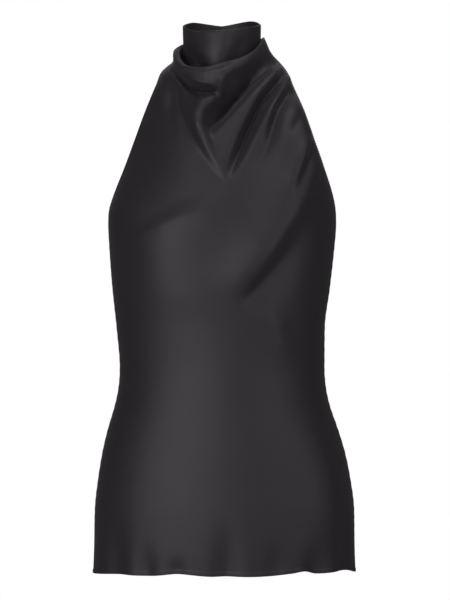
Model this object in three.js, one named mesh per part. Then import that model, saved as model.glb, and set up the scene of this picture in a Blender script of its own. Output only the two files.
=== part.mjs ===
// A sleeveless halter neck top in bias-cut satin, in the hollow form it has when it is worn.
// The front panel and the two back panels run from the hem up over the chest and shoulder blades,
// slump outward in a soft roll round the neck, and turn down inside the roll to meet a standing
// neck band. The band closes at the nape with two ball buttons and loops over a keyhole opening.
//
// Millimetres, +Z up, the front faces -Y. The origin is at the middle of the neck, level with the
// foot of the neck band. Heights below the neck are negative.
import * as THREE from "three";

// Cloth and seams
const CLOTH = 1.2;
const BAND_CLOTH = 1.8;
const SEAM_GAP = 0.3;
const ROLL_SEAM_GAP = 0.46;

// Shape of a section: below 1, its bow is squarer than an arc; the edge heights come in with a power
const BOW_POWER = 0.86;
const EDGE_RISE_POWER = 2.4;

// Folds fade out at the side seams and armholes, more abruptly with a higher power
const EDGE_CALM_POWER = 8;

// Neck band
const NECK_Y = 5;
const BAND_RADIUS = 49.8;
const BAND_LEAN = 0.06;
const BAND_BELOW_SEAM = 3;
const BAND_GAP_ANGLE = 0.9;
const BAND_FOLDS_START = 2;
const BAND_FOLDS_FULL = 20;
const BAND_FOLDS_SIDE = 12;
const BAND_ROWS = [0, 0.14, 0.3, 0.46, 0.62, 0.78, 0.9, 1];

// Side vents, keyhole and fastening
const VENT = { top: -578, bottom: -650, halfGap: 2.4, openPower: 1.5, edgePower: 10 };
const KEYHOLE = { top: 8, bottom: -96, widest: -70, halfWidth: 9, closed: 0.5 };
const NAPE_CALM = 12;
const NAPE_STEP = 0.1;
const BUTTON = {
  radius: 4.6, shankRadius: 1.4, shank: 1.6, x: 4.2, segments: 16, firstTurn: -70, turnStep: 20,
};
const LOOP = { radius: 1, sides: 4, steps: 24, rise: 0.18, mostRise: 1.6, riseFrom: -2 };
const LOOP_PATH = [[-12, 2.4], [-6, 2.8], [-1, 4.6], [4.2, 6], [8.4, 4.4], [10.2, 0]];

// Grid sizes
const FRONT_COLUMNS = 46;
const BACK_COLUMNS = 13;
const BAND_COLUMNS = 64;

// Columns of the front gather towards its folds, and lean a little to the right there
const GATHER = { from: -320, to: -160, closer: 0.32, lean: 0.06 };

const table = (columns, rows) =>
  rows.map((row) => Object.fromEntries(columns.map((name, i) => [name, row[i]])));

// Sections of the front and the back, from the hem up. depth is how far the middle stands from the
// side seams, left and right are half-widths at the edges, edgeY and the two edge heights place the
// edges, arc is the half-angle that the section bends through, and cuts is the number of grid rows
// between this section and the next.
const SECTION = [
  "height", "depth", "left", "right", "edgeY", "leftHeight", "rightHeight", "arc", "cuts",
];
const FRONT = table(SECTION, [
  [-649.5, 116, 164.8, 170.8, 0, -653, -651.5, 90, 2],
  [-618, 118, 163.6, 169.8, 0, -620, -619, 90, 2],
  [-570, 119, 162.6, 169.0, 0, -570, -570, 90, 1],
  [-535, 118, 158.8, 164.6, 0, -535, -535, 90, 1],
  [-500, 117, 153.2, 157.6, 0, -500, -500, 90, 1],
  [-470, 115, 146.2, 148.6, 0, -470, -470, 90, 1],
  [-440, 113, 137.4, 138.2, 0, -440, -440, 90, 1],
  [-416, 112.4, 132.4, 133.0, 0, -416, -416, 90, 1],
  [-390, 112, 130.8, 131.2, 0, -390, -390, 90, 1],
  [-340, 114, 134.8, 131.6, 0, -340, -340, 90, 2],
  [-290, 117.6, 140.0, 137.9, 0, -290, -290, 90, 2],
  [-245, 118.2, 143.5, 143.0, 0, -245, -245, 90, 2],
  [-207, 115.9, 145.6, 146.0, 0, -207, -207, 89, 1],
  [-192, 113.8, 144.2, 144.9, -11, -192, -192, 85, 2],
  [-168, 109.2, 136.6, 139.6, -23, -168, -168, 79, 3],
  [-136, 101.2, 124.0, 128.6, -33, -136, -136, 71, 4],
  [-104, 93.2, 111.0, 115.6, -36, -100, -100, 67, 4],
  [-72, 86, 98.0, 103.2, -29, -64, -64, 71, 4],
  [-46, 78, 84.2, 91.0, -10, -31, -33, 82, 6],
  [-32, 71.5, 78.6, 84.4, 5, -15, -15, 90, 3],
  [-23, 67, 70.5, 75.2, 5, -5.5, -1.5, 90, 1],
]);
const BACK = table(SECTION, [
  [-653, 117, 164.8, 170.8, 0, -653, -651.5, 90, 2],
  [-618, 121, 163.6, 169.8, 0, -620, -619, 90, 1],
  [-570, 122, 162.6, 169.0, 0, -570, -570, 90, 1],
  [-535, 119, 158.8, 164.6, 0, -535, -535, 90, 1],
  [-500, 113, 153.2, 157.6, 0, -500, -500, 90, 1],
  [-470, 105, 146.2, 148.6, 0, -470, -470, 90, 1],
  [-440, 97, 137.4, 138.2, 0, -440, -440, 90, 1],
  [-416, 91, 132.4, 133.0, 0, -416, -416, 90, 1],
  [-390, 87, 130.8, 131.2, 0, -390, -390, 90, 1],
  [-340, 89, 134.8, 131.6, 0, -340, -340, 90, 1],
  [-290, 95, 140.0, 137.9, 0, -290, -290, 90, 1],
  [-245, 100, 143.5, 143.0, 0, -245, -245, 90, 1],
  [-207, 102, 145.6, 146.0, 0, -207, -207, 89, 1],
  [-192, 103, 143.2, 143.8, 11, -192, -192, 85, 1],
  [-168, 103, 133.4, 136.4, 24, -168, -168, 80, 2],
  [-136, 101, 119.6, 124.2, 35, -136, -136, 74, 2],
  [-104, 97, 106.4, 110.8, 39, -100, -100, 71, 2],
  [-70, 89, 94.0, 99.0, 34, -64, -64, 75, 2],
  [-38, 79, 82.6, 89.6, 14, -31, -33, 84, 1],
  [-20, 72, 78.6, 84.4, 5, -15, -15, 90, 1],
  [-9, 67, 70.5, 75.2, 5, -5.5, -1.5, 90, 1],
]);

// The roll round the neck, by angle from the front: the height of its rim, its outer radius, half
// the distance between its two layers, how far its inner layer drops to the neck band's seam, and
// how far the cloth is drawn in below it. Then the height of the neck band's rim, and how far that
// rim leans outward.
const NECK_COLUMNS = ["rim", "outer", "half", "drop", "drawn", "bandRim", "flare"];
const NECK = table(["angle", ...NECK_COLUMNS], [
  [-180, 28, 53.4, 1.5, 15, 1.0, 49.6, 0.4],
  [-135, 28, 55.0, 2.2, 16, 2.0, 53.0, 0.4],
  [-110, 24.5, 59.0, 3.4, 18, 3.6, 49.5, 0.4],
  [-90, 17.5, 62.4, 4.6, 20, 4.6, 46.0, 0.6],
  [-68, 4, 65.0, 5.2, 19, 2.6, 41.5, 0.2],
  [-45, -8, 67.4, 5.4, 17, 0.0, 36.6, -0.4],
  [-22, -10.6, 67.4, 5.0, 16, -1.0, 35.4, 0.2],
  [0, -4.4, 65.0, 4.4, 16, -1.0, 36.4, 1.0],
  [22, 1.0, 61.2, 3.2, 16, 0.0, 38.6, 1.8],
  [45, 10.0, 57.8, 2.4, 16, 1.0, 41.6, 1.6],
  [68, 22.5, 55.0, 1.5, 16, 2.2, 44.8, 0.8],
  [90, 32.0, 54.6, 1.5, 16, 3.4, 47.4, 0.2],
  [135, 31, 53.6, 1.5, 16, 2.2, 54.6, 0.2],
  [180, 28, 53.4, 1.5, 15, 1.0, 49.6, 0.4],
]);

// Folds of the front, as ridges and troughs along tracks seen from the front. A track has points of
// x, z and height; above and below are its half-widths on the side towards the upper left and the
// lower right.
const FOLDS = [
  {
    name: "roll crest running down to the breastbone",
    above: 12, below: 7,
    track: [
      [54, 15.7, 3], [41.5, 6.9, 5], [26.4, -3.2, 6], [12.6, -12, 7], [2.6, -20.7, 8],
      [-3.7, -38.3, 9], [-11.2, -49.6, 9], [-21.3, -58.4, 9], [-25, -68.5, 9],
      [-25.7, -78.5, 8.5], [-23.8, -91.1, 7.5], [-18.8, -107.4, 6], [-11.2, -126.2, 4], [3, -158, 0],
    ],
  },
  {
    name: "deep trough under the roll",
    above: 11, below: 7,
    track: [
      [64, 2, -3], [50.3, -14, -9], [35.2, -24.5, -13], [22.7, -34, -15], [12, -45, -15],
      [1, -55.5, -13], [-9, -66.5, -10], [-14.5, -79, -7], [-16, -93, -3], [-14, -108, 0],
    ],
  },
  {
    name: "second ridge",
    above: 14, below: 6,
    track: [
      [58, 2, 0], [63.5, -10.7, 4], [63, -22, 7], [55.3, -35.8, 7], [42.8, -49.6, 6],
      [35.2, -66, 5], [27.7, -83.5, 4], [18.9, -102.4, 3], [10.1, -123.7, 2], [1, -152, 0],
    ],
  },
  {
    name: "second trough",
    above: 6, below: 7,
    track: [
      [78, -12, 0], [70, -28, -8], [57.8, -43.4, -14], [46.5, -60.9, -15], [37.8, -78.5, -15],
      [29, -97.4, -13], [20.2, -116.2, -10], [12.6, -133.8, -6], [6, -150, 0],
    ],
  },
  {
    name: "third ridge",
    above: 11, below: 6,
    track: [
      [88, -14, 0], [80.5, -24, 4], [71.7, -40.8, 5], [60.4, -60.9, 5], [51.6, -81, 4],
      [41.5, -101.1, 3], [22.7, -143.8, 0],
    ],
  },
  {
    name: "third trough",
    above: 6, below: 7,
    track: [
      [86, -36, 0], [79.2, -50.9, -7], [71.7, -66, -10], [65.4, -83.5, -10], [59.1, -103.6, -7],
      [52.8, -118.7, -3.5], [45, -136, 0],
    ],
  },
  {
    name: "dimple by the armhole",
    above: 6, below: 6,
    track: [[97, -70, 0], [88.3, -86.5, -3.2], [80, -101, 0]],
  },
  {
    name: "fourth ridge",
    above: 10, below: 6,
    track: [[112, -84, 0], [101.9, -109.7, 4], [94.4, -128.6, 5], [86.8, -151.2, 3], [78, -174, 0]],
  },
  {
    name: "fourth trough",
    above: 5.5, below: 6,
    track: [[116, -94, 0], [107.6, -115.8, -4.5], [101.3, -133.4, -5.5], [95, -151, -4], [86, -174, 0]],
  },
  {
    name: "small trough at the armhole",
    above: 5, below: 5,
    track: [[131, -132, -1], [121.2, -150.6, -3], [113.7, -165.8, -2], [107, -180, 0]],
  },
  {
    name: "long drag line from the armhole to under the bust",
    above: 34, below: 15,
    track: [
      [122, -108, 0], [112.7, -133.2, 3], [105.2, -152, 4], [96.4, -173.3, 6], [85.2, -194.5, 8],
      [71.4, -217.1, 10], [55.1, -244.6, 11], [38.9, -269.6, 9], [26.4, -288.4, 5], [14, -308, 0],
    ],
  },
  {
    name: "hollow under the drag line",
    above: 12, below: 19,
    track: [
      [104, -216, 0], [84, -244, -3], [62, -270, -6], [44, -290, -8], [32, -302, -4], [24, -312, 0],
    ],
  },
  {
    name: "soft rise below the hollow",
    above: 18, below: 16,
    track: [[44, -302, 0], [56, -318, 3], [66, -336, 4], [73, -362, 3], [76, -396, 0]],
  },
  {
    name: "crease along the left of the roll crest",
    above: 18, below: 8,
    track: [
      [-60, -34, -2], [-54, -59.5, -4], [-46, -84.7, -6], [-36, -106, -6], [-26, -124.9, -5],
      [-13, -144, -2.6], [6, -162, 0],
    ],
  },
  {
    name: "pocket under the swag",
    above: 9, below: 6,
    track: [[-60, -22, 0], [-51, -32, -5], [-41, -41, -8], [-29, -46, -8], [-17, -49, -5], [-6, -52, 0]],
  },
  {
    name: "hollow up to the left shoulder",
    above: 9, below: 9,
    track: [[-64, -14, -1], [-67.5, -32, -3], [-68, -52, -4], [-65.7, -72, -3], [-61, -100, 0]],
  },
  {
    name: "soft ridge over the right hip",
    above: 34, below: 18,
    track: [
      [96, -440, 0], [118, -486, 3], [132, -530, 5], [134, -570, 5], [128, -618, 2], [124, -650, 0],
    ],
  },
];

// The folds fade out over these stations, above the last section
const FOLD_FADE = { from: -0.8, to: 2.4 };

// The swag at the left of the roll: its lower edge seen from the front, how far the cloth stands
// forward across it, and how far it hangs over the hollow below.
const SWAG = table(["x", "edge", "step", "hang"], [
  [-68, -12, 0, 0],
  [-57, -20, 7, 3],
  [-46, -29, 15, 8],
  [-34, -36.5, 18, 10],
  [-22, -40.5, 16, 9],
  [-12, -43, 10, 4],
  [-2, -46, 4, 1],
  [9, -48, 0, 0],
]);
const SWAG_REACH = 6;
const SWAG_ROW = 18.5;
const SWAG_ROWS_MOVED = 1.7;
const SWAG_ROWS_END = 0.5;
const SWAG_ROW_SEARCH = { down: 1, up: 1.5 };

// The swag's own form up from its lower edge, in reaches: a bulge, and the hollow tucked under it
const SWAG_FORM = table(["amount", "at", "wide"], [
  [1, 4.9, 2.8],
  [-0.5, -0.7, 1.2],
]);
const SWAG_FADE = { from: 0.5, to: 3.5 };

// The roll hangs forward at the right of the front, in stations above the last section
const ROLL_FORWARD = { most: 14, middle: 34, wide: 36, from: -1.5, to: 2 };
const ROLL_INSIDE = { from: 4, to: 6.2 };

// Flutes along the hem: where each trough lies across the front and the back, its half-width, its
// depth, and how far up it reaches.
const FLUTE = ["x", "halfWidth", "depth", "reach"];
const FRONT_FLUTES = table(FLUTE, [
  [-134, 15, 4.5, 48], [-95, 12, 4, 24], [-56, 11, 3.2, 16], [6, 16, 5, 40],
  [66, 17, 4.5, 30], [118, 13, 5, 28], [154, 9, 4, 50],
]);
const BACK_FLUTES = table(FLUTE, [
  [-128, 16, 4.5, 44], [-74, 16, 4.5, 34], [-22, 14, 3.6, 26], [34, 16, 4.5, 40],
  [88, 15, 4, 28], [138, 13, 4.5, 46],
]);

// How far the front's hem line rises along its width, fading out above it
const HEM_LIFT = table(["x", "lift"], [
  [-170, 0], [-134, 1.5], [-95, 0.6], [-56, 3.7], [-8, 0.8], [60, 0.6], [86, 3.6],
  [104, 6], [122, 2.4], [142, 3.6], [158, 5], [172, 0],
]);
const HEM_LIFT_REACH = 34;

// Creases of the back, seen from the front, with the same columns as the folds of the front
const BACK_FOLDS = [
  {
    name: "drag line from the left armhole to the small of the back",
    above: 20, below: 16,
    track: [[-120, -176, 0], [-98, -214, 4], [-72, -256, 6], [-46, -298, 5], [-26, -336, 0]],
  },
  {
    name: "drag line from the right armhole",
    above: 18, below: 15,
    track: [[122, -188, 0], [102, -228, 4], [80, -270, 5], [60, -312, 4], [46, -352, 0]],
  },
  {
    name: "crease over the seat, right",
    above: 15, below: 12,
    track: [[124, -404, 0], [92, -424, -3.5], [56, -432, -4.5], [22, -426, -2], [0, -420, 0]],
  },
  {
    name: "crease over the seat, left",
    above: 15, below: 12,
    track: [[-122, -392, 0], [-90, -408, -3.5], [-54, -414, -4], [-20, -406, -2], [0, -402, 0]],
  },
  {
    name: "pull from the keyhole, left",
    above: 11, below: 10,
    track: [[-16, -44, 0], [-36, -76, 3], [-58, -112, 4], [-80, -150, 2], [-94, -182, 0]],
  },
  {
    name: "pull from the keyhole, right",
    above: 10, below: 11,
    track: [[18, -34, 0], [40, -66, 3], [62, -104, 4], [82, -146, 2.5], [98, -184, 0]],
  },
];

// Puckers of the neck band, with the same columns as the folds of the front
const BAND_FOLDS = [
  {
    name: "crest down the front of the band",
    above: 26, below: 11,
    track: [[4, 46, 1], [2, 32, 4], [-1, 16, 6], [-6, 0, 6], [-14, -18, 4]],
  },
  {
    name: "hollow under the band's flared rim",
    above: 10, below: 24,
    track: [[44, 34, -1], [30, 24, -4], [20, 12, -4], [12, 0, -3]],
  },
  {
    name: "hollow at the left foot of the band",
    above: 10, below: 14,
    track: [[-30, -22, -6], [-40, -4, -7], [-49, 12, -4], [-50, 24, 0]],
  },
];

// The soft bust forms, from the cut alone
const BUST = table(["x", "z", "wide", "high", "stand"], [
  [-70, -256, 48, 52, 9],
  [92, -124, 40, 90, 13],
]);

// The chest is turned a little: its left side lies further back and its right side further forward.
// Each row has the most it moves, then how it grows across, grows upward, and fades above.
const TURN = ["most", "acrossFrom", "acrossTo", "growFrom", "growTo", "fadeFrom", "fadeTo"];
const CHEST_TURN = table(TURN, [
  [26, -26, -118, -206, -84, -68, -30],
  [-16, 24, 112, -206, -96, -72, -32],
]);

// The slope of a smooth curve at a knot is at most this many times the rise to either side of it
const SLOPE_LIMIT = 2.4;

// Halvings of a range in which a place on a panel is looked for
const HALVINGS = 30;

// A smooth curve through values at knots that never swings past them
function throughKnots(knots, values, at) {
  const last = knots.length - 1;
  let i = 0;
  while (i < last - 1 && at > knots[i + 1]) i += 1;
  const rise = (k) => (values[k + 1] - values[k]) / (knots[k + 1] - knots[k]);
  const slope = (k) => {
    if (k === 0) return rise(0);
    if (k === last) return rise(last - 1);
    const before = rise(k - 1);
    const after = rise(k);
    if (before * after <= 0) return 0;
    const mean = (values[k + 1] - values[k - 1]) / (knots[k + 1] - knots[k - 1]);
    const most = SLOPE_LIMIT * Math.min(Math.abs(before), Math.abs(after));
    return Math.sign(mean) * Math.min(Math.abs(mean), most);
  };
  const span = knots[i + 1] - knots[i];
  const f = THREE.MathUtils.clamp((at - knots[i]) / span, 0, 1);
  const f2 = f * f;
  const f3 = f2 * f;
  return (
    (2 * f3 - 3 * f2 + 1) * values[i] +
    (f3 - 2 * f2 + f) * span * slope(i) +
    (3 * f2 - 2 * f3) * values[i + 1] +
    (f3 - f2) * span * slope(i + 1)
  );
}

const columnAt = (rows, key, column, at) =>
  throughKnots(rows.map((row) => row[key]), rows.map((row) => row[column]), at);

// Neck sizes at an angle from the front, in degrees from -180 to 180
function neckAt(angle) {
  const turned = ((angle + 540) % 360) - 180;
  const sizes = {};
  for (const column of NECK_COLUMNS) sizes[column] = columnAt(NECK, "angle", column, turned);
  return sizes;
}

const around = (angle, radius, height) => {
  const a = THREE.MathUtils.degToRad(angle);
  return new THREE.Vector3(radius * Math.sin(a), NECK_Y - radius * Math.cos(a), height);
};

// The point of a section at s, which runs from -1 at the left edge to 1 at the right edge
function sectionPoint(section, facing, s) {
  const arc = THREE.MathUtils.degToRad(section.arc);
  const q = Math.sin(s * arc) / Math.sin(arc);
  const half = (section.left + section.right) / 2;
  const shift = (section.right - section.left) / 2;
  const bow = Math.max((Math.cos(s * arc) - Math.cos(arc)) / (1 - Math.cos(arc)), 0) ** BOW_POWER;
  const mean = (section.leftHeight + section.rightHeight) / 2;
  const tilt = (section.rightHeight - section.leftHeight) / 2;
  const away = Math.abs(s) ** EDGE_RISE_POWER;
  return new THREE.Vector3(
    half * q + shift * q * q,
    section.edgeY + facing * (section.depth - facing * section.edgeY) * bow,
    section.height + (mean - section.height) * away + tilt * Math.sign(s) * away,
  );
}

// Points of the roll above the last section, from its outer face over the rim to the inner seam
const ROLL_ANGLES = [0, 60, 120, 180];
const ROLL_DOWN_POINTS = 2;
const ROLL_DOWN_POWER = 1.5;
const ROLL_POINTS = ROLL_ANGLES.length + ROLL_DOWN_POINTS;
function rollPoint(angle, index) {
  const { rim, outer, half, drop } = neckAt(angle);
  const middle = outer - half;
  const seam = BAND_RADIUS + ROLL_SEAM_GAP;
  if (index < ROLL_ANGLES.length) {
    const turn = THREE.MathUtils.degToRad(ROLL_ANGLES[index]);
    return around(angle, middle + half * Math.cos(turn), rim - half + half * Math.sin(turn));
  }
  const down = index - ROLL_ANGLES.length + 1;
  const inner = middle - half;
  const share = down / ROLL_DOWN_POINTS;
  return around(angle, inner + (seam - inner) * share ** ROLL_DOWN_POWER, rim - half - drop * share);
}
const ROLL_CUTS = [1, 1, 1, 2, 1];

// Stations between the last section and the roll: how far up they are, and their share of the draw
const THROAT = table(["up", "draw"], [
  [0.4, 1],
  [0.75, 0.5],
]);
const THROAT_CUTS = [1, 1];

// A panel's stations are its sections, the throat below the roll, and the points of the roll
function stationPoint(panel, index, s) {
  const above = index - panel.sections.length;
  if (above < 0) return sectionPoint(panel.sections[index], panel.facing, s);
  const angle = panel.facing < 0 ? 90 * s : 180 - 90 * s;
  if (above >= THROAT.length) return rollPoint(angle, above - THROAT.length);
  const { up, draw } = THROAT[above];
  const p = sectionPoint(panel.sections.at(-1), panel.facing, s).lerp(rollPoint(angle, 0), up);
  const inward = around(angle, 1, 0).setY(around(angle, 1, 0).y - NECK_Y);
  return p.addScaledVector(inward, -draw * neckAt(angle).drawn);
}

function panelPoint(panel, s, v) {
  const last = panel.sections.length + THROAT.length + ROLL_POINTS - 1;
  const i = THREE.MathUtils.clamp(Math.floor(v), 0, last - 1);
  const first = Math.max(i - 1, 0);
  const points = [];
  for (let k = first; k <= Math.min(i + 2, last); k += 1) points.push(stationPoint(panel, k, s));
  const knots = [0];
  for (let k = 1; k < points.length; k += 1)
    knots.push(knots[k - 1] + Math.sqrt(points[k].distanceTo(points[k - 1])));
  const here = i - first;
  const at = knots[here] + (v - i) * (knots[here + 1] - knots[here]);
  return new THREE.Vector3(
    throughKnots(knots, points.map((p) => p.x), at),
    throughKnots(knots, points.map((p) => p.y), at),
    throughKnots(knots, points.map((p) => p.z), at),
  );
}

// Height of one fold at a point seen from the front
function foldHeight(fold, x, z) {
  let nearest = Infinity;
  let height = 0;
  for (let i = 0; i + 1 < fold.track.length; i += 1) {
    const [ax, az, ah] = fold.track[i];
    const [bx, bz, bh] = fold.track[i + 1];
    const dx = bx - ax;
    const dz = bz - az;
    const f = THREE.MathUtils.clamp(((x - ax) * dx + (z - az) * dz) / (dx * dx + dz * dz), 0, 1);
    const away = Math.hypot(x - ax - f * dx, z - az - f * dz);
    if (away >= nearest) continue;
    nearest = away;
    const side = (x - ax) * dz - (z - az) * dx < 0 ? fold.below : fold.above;
    height = (ah + (bh - ah) * f) * Math.exp(-((away / side) ** 2));
  }
  return height;
}

const foldsAt = (folds, x, z) => folds.reduce((sum, fold) => sum + foldHeight(fold, x, z), 0);

function flutesAt(flutes, x, z, hem) {
  return flutes.reduce((sum, flute) => {
    const across = Math.exp(-(((x - flute.x) / flute.halfWidth) ** 2));
    return sum - flute.depth * across * Math.exp(-(((z - hem) / flute.reach) ** 2));
  }, 0);
}

function hemLiftAt(x, z) {
  const place = THREE.MathUtils.clamp(x, HEM_LIFT[0].x, HEM_LIFT.at(-1).x);
  const above = Math.max(z - FRONT[0].height, 0) / HEM_LIFT_REACH;
  return columnAt(HEM_LIFT, "x", "lift", place) * Math.exp(-above * above);
}

function bustAt(x, z) {
  return BUST.reduce((sum, form) => {
    const across = ((x - form.x) / form.wide) ** 2;
    return sum + form.stand * Math.exp(-across - ((z - form.z) / form.high) ** 2);
  }, 0);
}

// How far back the chest's turn moves a point
function chestTurnAt(x, z) {
  const { smoothstep } = THREE.MathUtils;
  return CHEST_TURN.reduce((sum, turn) => {
    const side = Math.sign(turn.acrossTo);
    const across = smoothstep(side * x, side * turn.acrossFrom, side * turn.acrossTo);
    const grown = smoothstep(z, turn.growFrom, turn.growTo);
    const faded = smoothstep(z, turn.fadeFrom, turn.fadeTo);
    return sum + turn.most * across * grown * (1 - faded);
  }, 0);
}

// How the swag moves a point: forward, and down above its lower edge or up below it
function swagAt(x, z) {
  if (x <= SWAG[0].x || x >= SWAG.at(-1).x) return { forward: 0, down: 0 };
  const e = (z - columnAt(SWAG, "x", "edge", x)) / SWAG_REACH;
  const step = columnAt(SWAG, "x", "step", x);
  const hang = columnAt(SWAG, "x", "hang", x);
  const form = SWAG_FORM.reduce(
    (sum, { amount, at, wide }) => sum + amount * Math.exp(-(((e - at) / wide) ** 2)),
    0,
  );
  return { forward: step * form, down: hang * e * Math.exp(-e * e) };
}

// How far a column's rows move up the panel, so that they follow the edge of the swag
function swagRowShift(panel, s) {
  let [low, high] = [SWAG_ROW - SWAG_ROW_SEARCH.down, SWAG_ROW + SWAG_ROW_SEARCH.up];
  for (let step = 0; step < HALVINGS; step += 1) {
    const middle = (low + high) / 2;
    const p = panelPoint(panel, s, middle);
    const x = THREE.MathUtils.clamp(p.x, SWAG[0].x, SWAG.at(-1).x);
    if (p.z < columnAt(SWAG, "x", "edge", x)) low = middle;
    else high = middle;
  }
  return (low - SWAG_ROW) * (1 - THREE.MathUtils.smoothstep(s, 0, SWAG_ROWS_END));
}

// The place of a column across the front: s from its even share u
function gathered(u, height) {
  const near = THREE.MathUtils.smoothstep(height, GATHER.from, GATHER.to);
  return u + near * (GATHER.closer * (u ** 3 - u) + GATHER.lean * (1 - u * u));
}

// Rows of v along a panel, closer where its sections ask for it
function rowsOf(panel) {
  const cuts = [...panel.sections.map((section) => section.cuts), ...THROAT_CUTS, ...ROLL_CUTS];
  const rows = cuts.flatMap((count, i) => Array.from({ length: count }, (_, k) => i + k / count));
  return [...rows, cuts.length];
}

// Normals of a grid of points, from each point's neighbours. At the first and the last column the
// normal stays in the seam's own plane, so both walls of a seam end flush.
function gridNormals(grid, outward, firstSeam, lastSeam) {
  const rows = grid.length;
  const columns = grid[0].length;
  return grid.map((row, j) =>
    row.map((_, i) => {
      const across = grid[j][Math.min(i + 1, columns - 1)].clone().sub(grid[j][Math.max(i - 1, 0)]);
      const along = grid[Math.min(j + 1, rows - 1)][i].clone().sub(grid[Math.max(j - 1, 0)][i]);
      const normal = across.cross(along).multiplyScalar(outward);
      if (i === 0 && firstSeam) normal[firstSeam] = 0;
      if (i === columns - 1 && lastSeam) normal[lastSeam] = 0;
      return normal.normalize();
    }),
  );
}

// A closed wall: the grid, its copy moved inward by the cloth's thickness, and the edges between
function wallOf({ grid, outward, seams }, thickness) {
  const normals = gridNormals(grid, outward, ...seams);
  const rows = grid.length;
  const columns = grid[0].length;
  const positions = [];
  for (const row of grid) for (const p of row) positions.push(p.x, p.y, p.z);
  grid.forEach((row, j) =>
    row.forEach((p, i) => {
      const inner = p.clone().addScaledVector(normals[j][i], -thickness);
      positions.push(inner.x, inner.y, inner.z);
    }),
  );
  const under = rows * columns;
  const faces = [];
  const quad = (a, b, c, d) => {
    if (outward > 0) faces.push(a, b, c, a, c, d);
    else faces.push(a, c, b, a, d, c);
  };
  for (let j = 0; j + 1 < rows; j += 1)
    for (let i = 0; i + 1 < columns; i += 1) {
      const a = j * columns + i;
      const [b, c, d] = [a + 1, a + columns + 1, a + columns];
      quad(a, b, c, d);
      quad(under + a, under + d, under + c, under + b);
    }
  const edge = [];
  for (let i = 0; i < columns; i += 1) edge.push(i);
  for (let j = 1; j < rows; j += 1) edge.push(j * columns + columns - 1);
  for (let i = columns - 2; i >= 0; i -= 1) edge.push((rows - 1) * columns + i);
  for (let j = rows - 2; j > 0; j -= 1) edge.push(j * columns);
  edge.forEach((a, k) => {
    const b = edge[(k + 1) % edge.length];
    quad(a, under + a, under + b, b);
  });
  const geometry = new THREE.BufferGeometry();
  geometry.setAttribute("position", new THREE.Float32BufferAttribute(positions, 3));
  geometry.setIndex(faces);
  geometry.computeVertexNormals();
  return geometry;
}

// Moves a panel apart from its neighbour at the side seam, more where the side vent opens
function seamShift(panel, s, z) {
  const open = THREE.MathUtils.clamp((VENT.top - z) / (VENT.top - VENT.bottom), 0, 1);
  const vent = VENT.halfGap * open ** VENT.openPower * Math.abs(s) ** VENT.edgePower;
  return panel.facing * (SEAM_GAP / 2 + vent);
}

// Half the width of the keyhole at a height, down to the centre back seam
function keyholeHalf(z) {
  const { top, bottom, widest, halfWidth, closed } = KEYHOLE;
  if (z >= top) return closed;
  if (z <= bottom) return SEAM_GAP / 2;
  const f = z > widest ? (top - z) / (top - widest) : (z - bottom) / (widest - bottom);
  const open = z > widest ? f * f * (3 - 2 * f) : Math.sqrt(f * (2 - f));
  return (z > widest ? closed : SEAM_GAP / 2) + halfWidth * open;
}

const FRONT_PANEL = { sections: FRONT, facing: -1 };
const BACK_PANEL = { sections: BACK, facing: 1 };

// The share that is left of a form that fades out over stations above the front's last section
function stationsLeft(v, { from, to }) {
  return 1 - THREE.MathUtils.smoothstep(v - FRONT.length, from, to);
}

function rollForward(x, v) {
  const { most, middle, wide } = ROLL_FORWARD;
  return most * Math.exp(-(((x - middle) / wide) ** 2)) * (1 - stationsLeft(v, ROLL_FORWARD));
}

function frontGrid() {
  const rows = rowsOf(FRONT_PANEL);
  const even = Array.from({ length: FRONT_COLUMNS + 1 }, (_, i) => (2 * i) / FRONT_COLUMNS - 1);
  const shifts = even.map((u) => swagRowShift(FRONT_PANEL, gathered(u, 0)));
  const places = rows.map((row) =>
    even.map((u, i) => {
      const v = row + shifts[i] * Math.exp(-(((row - SWAG_ROW) / SWAG_ROWS_MOVED) ** 2));
      const s = gathered(u, panelPoint(FRONT_PANEL, u, v).z);
      return { v, s, p: panelPoint(FRONT_PANEL, s, v) };
    }),
  );
  const seams = ["y", "y"];
  const smooth = places.map((row) => row.map(({ p }) => p));
  const normals = gridNormals(smooth, 1, ...seams);
  const grid = places.map((row, j) =>
    row.map(({ v, s, p }, i) => {
      const edge = 1 - Math.abs(s) ** EDGE_CALM_POWER;
      const folds = stationsLeft(v, FOLD_FADE) * foldsAt(FOLDS, p.x, p.z);
      const swag = swagAt(p.x, p.z);
      const out =
        edge * (folds + bustAt(p.x, p.z)) + flutesAt(FRONT_FLUTES, p.x, p.z, FRONT[0].height);
      const moved = p.clone().addScaledVector(normals[j][i], out);
      moved.z += hemLiftAt(p.x, p.z) - stationsLeft(v, SWAG_FADE) * edge * swag.down;
      moved.y += seamShift(FRONT_PANEL, s, p.z) + chestTurnAt(p.x, p.z);
      moved.y -= edge * stationsLeft(v, ROLL_INSIDE) * (rollForward(p.x, v) + swag.forward);
      return moved;
    }),
  );
  return { grid, outward: 1, seams };
}

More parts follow.
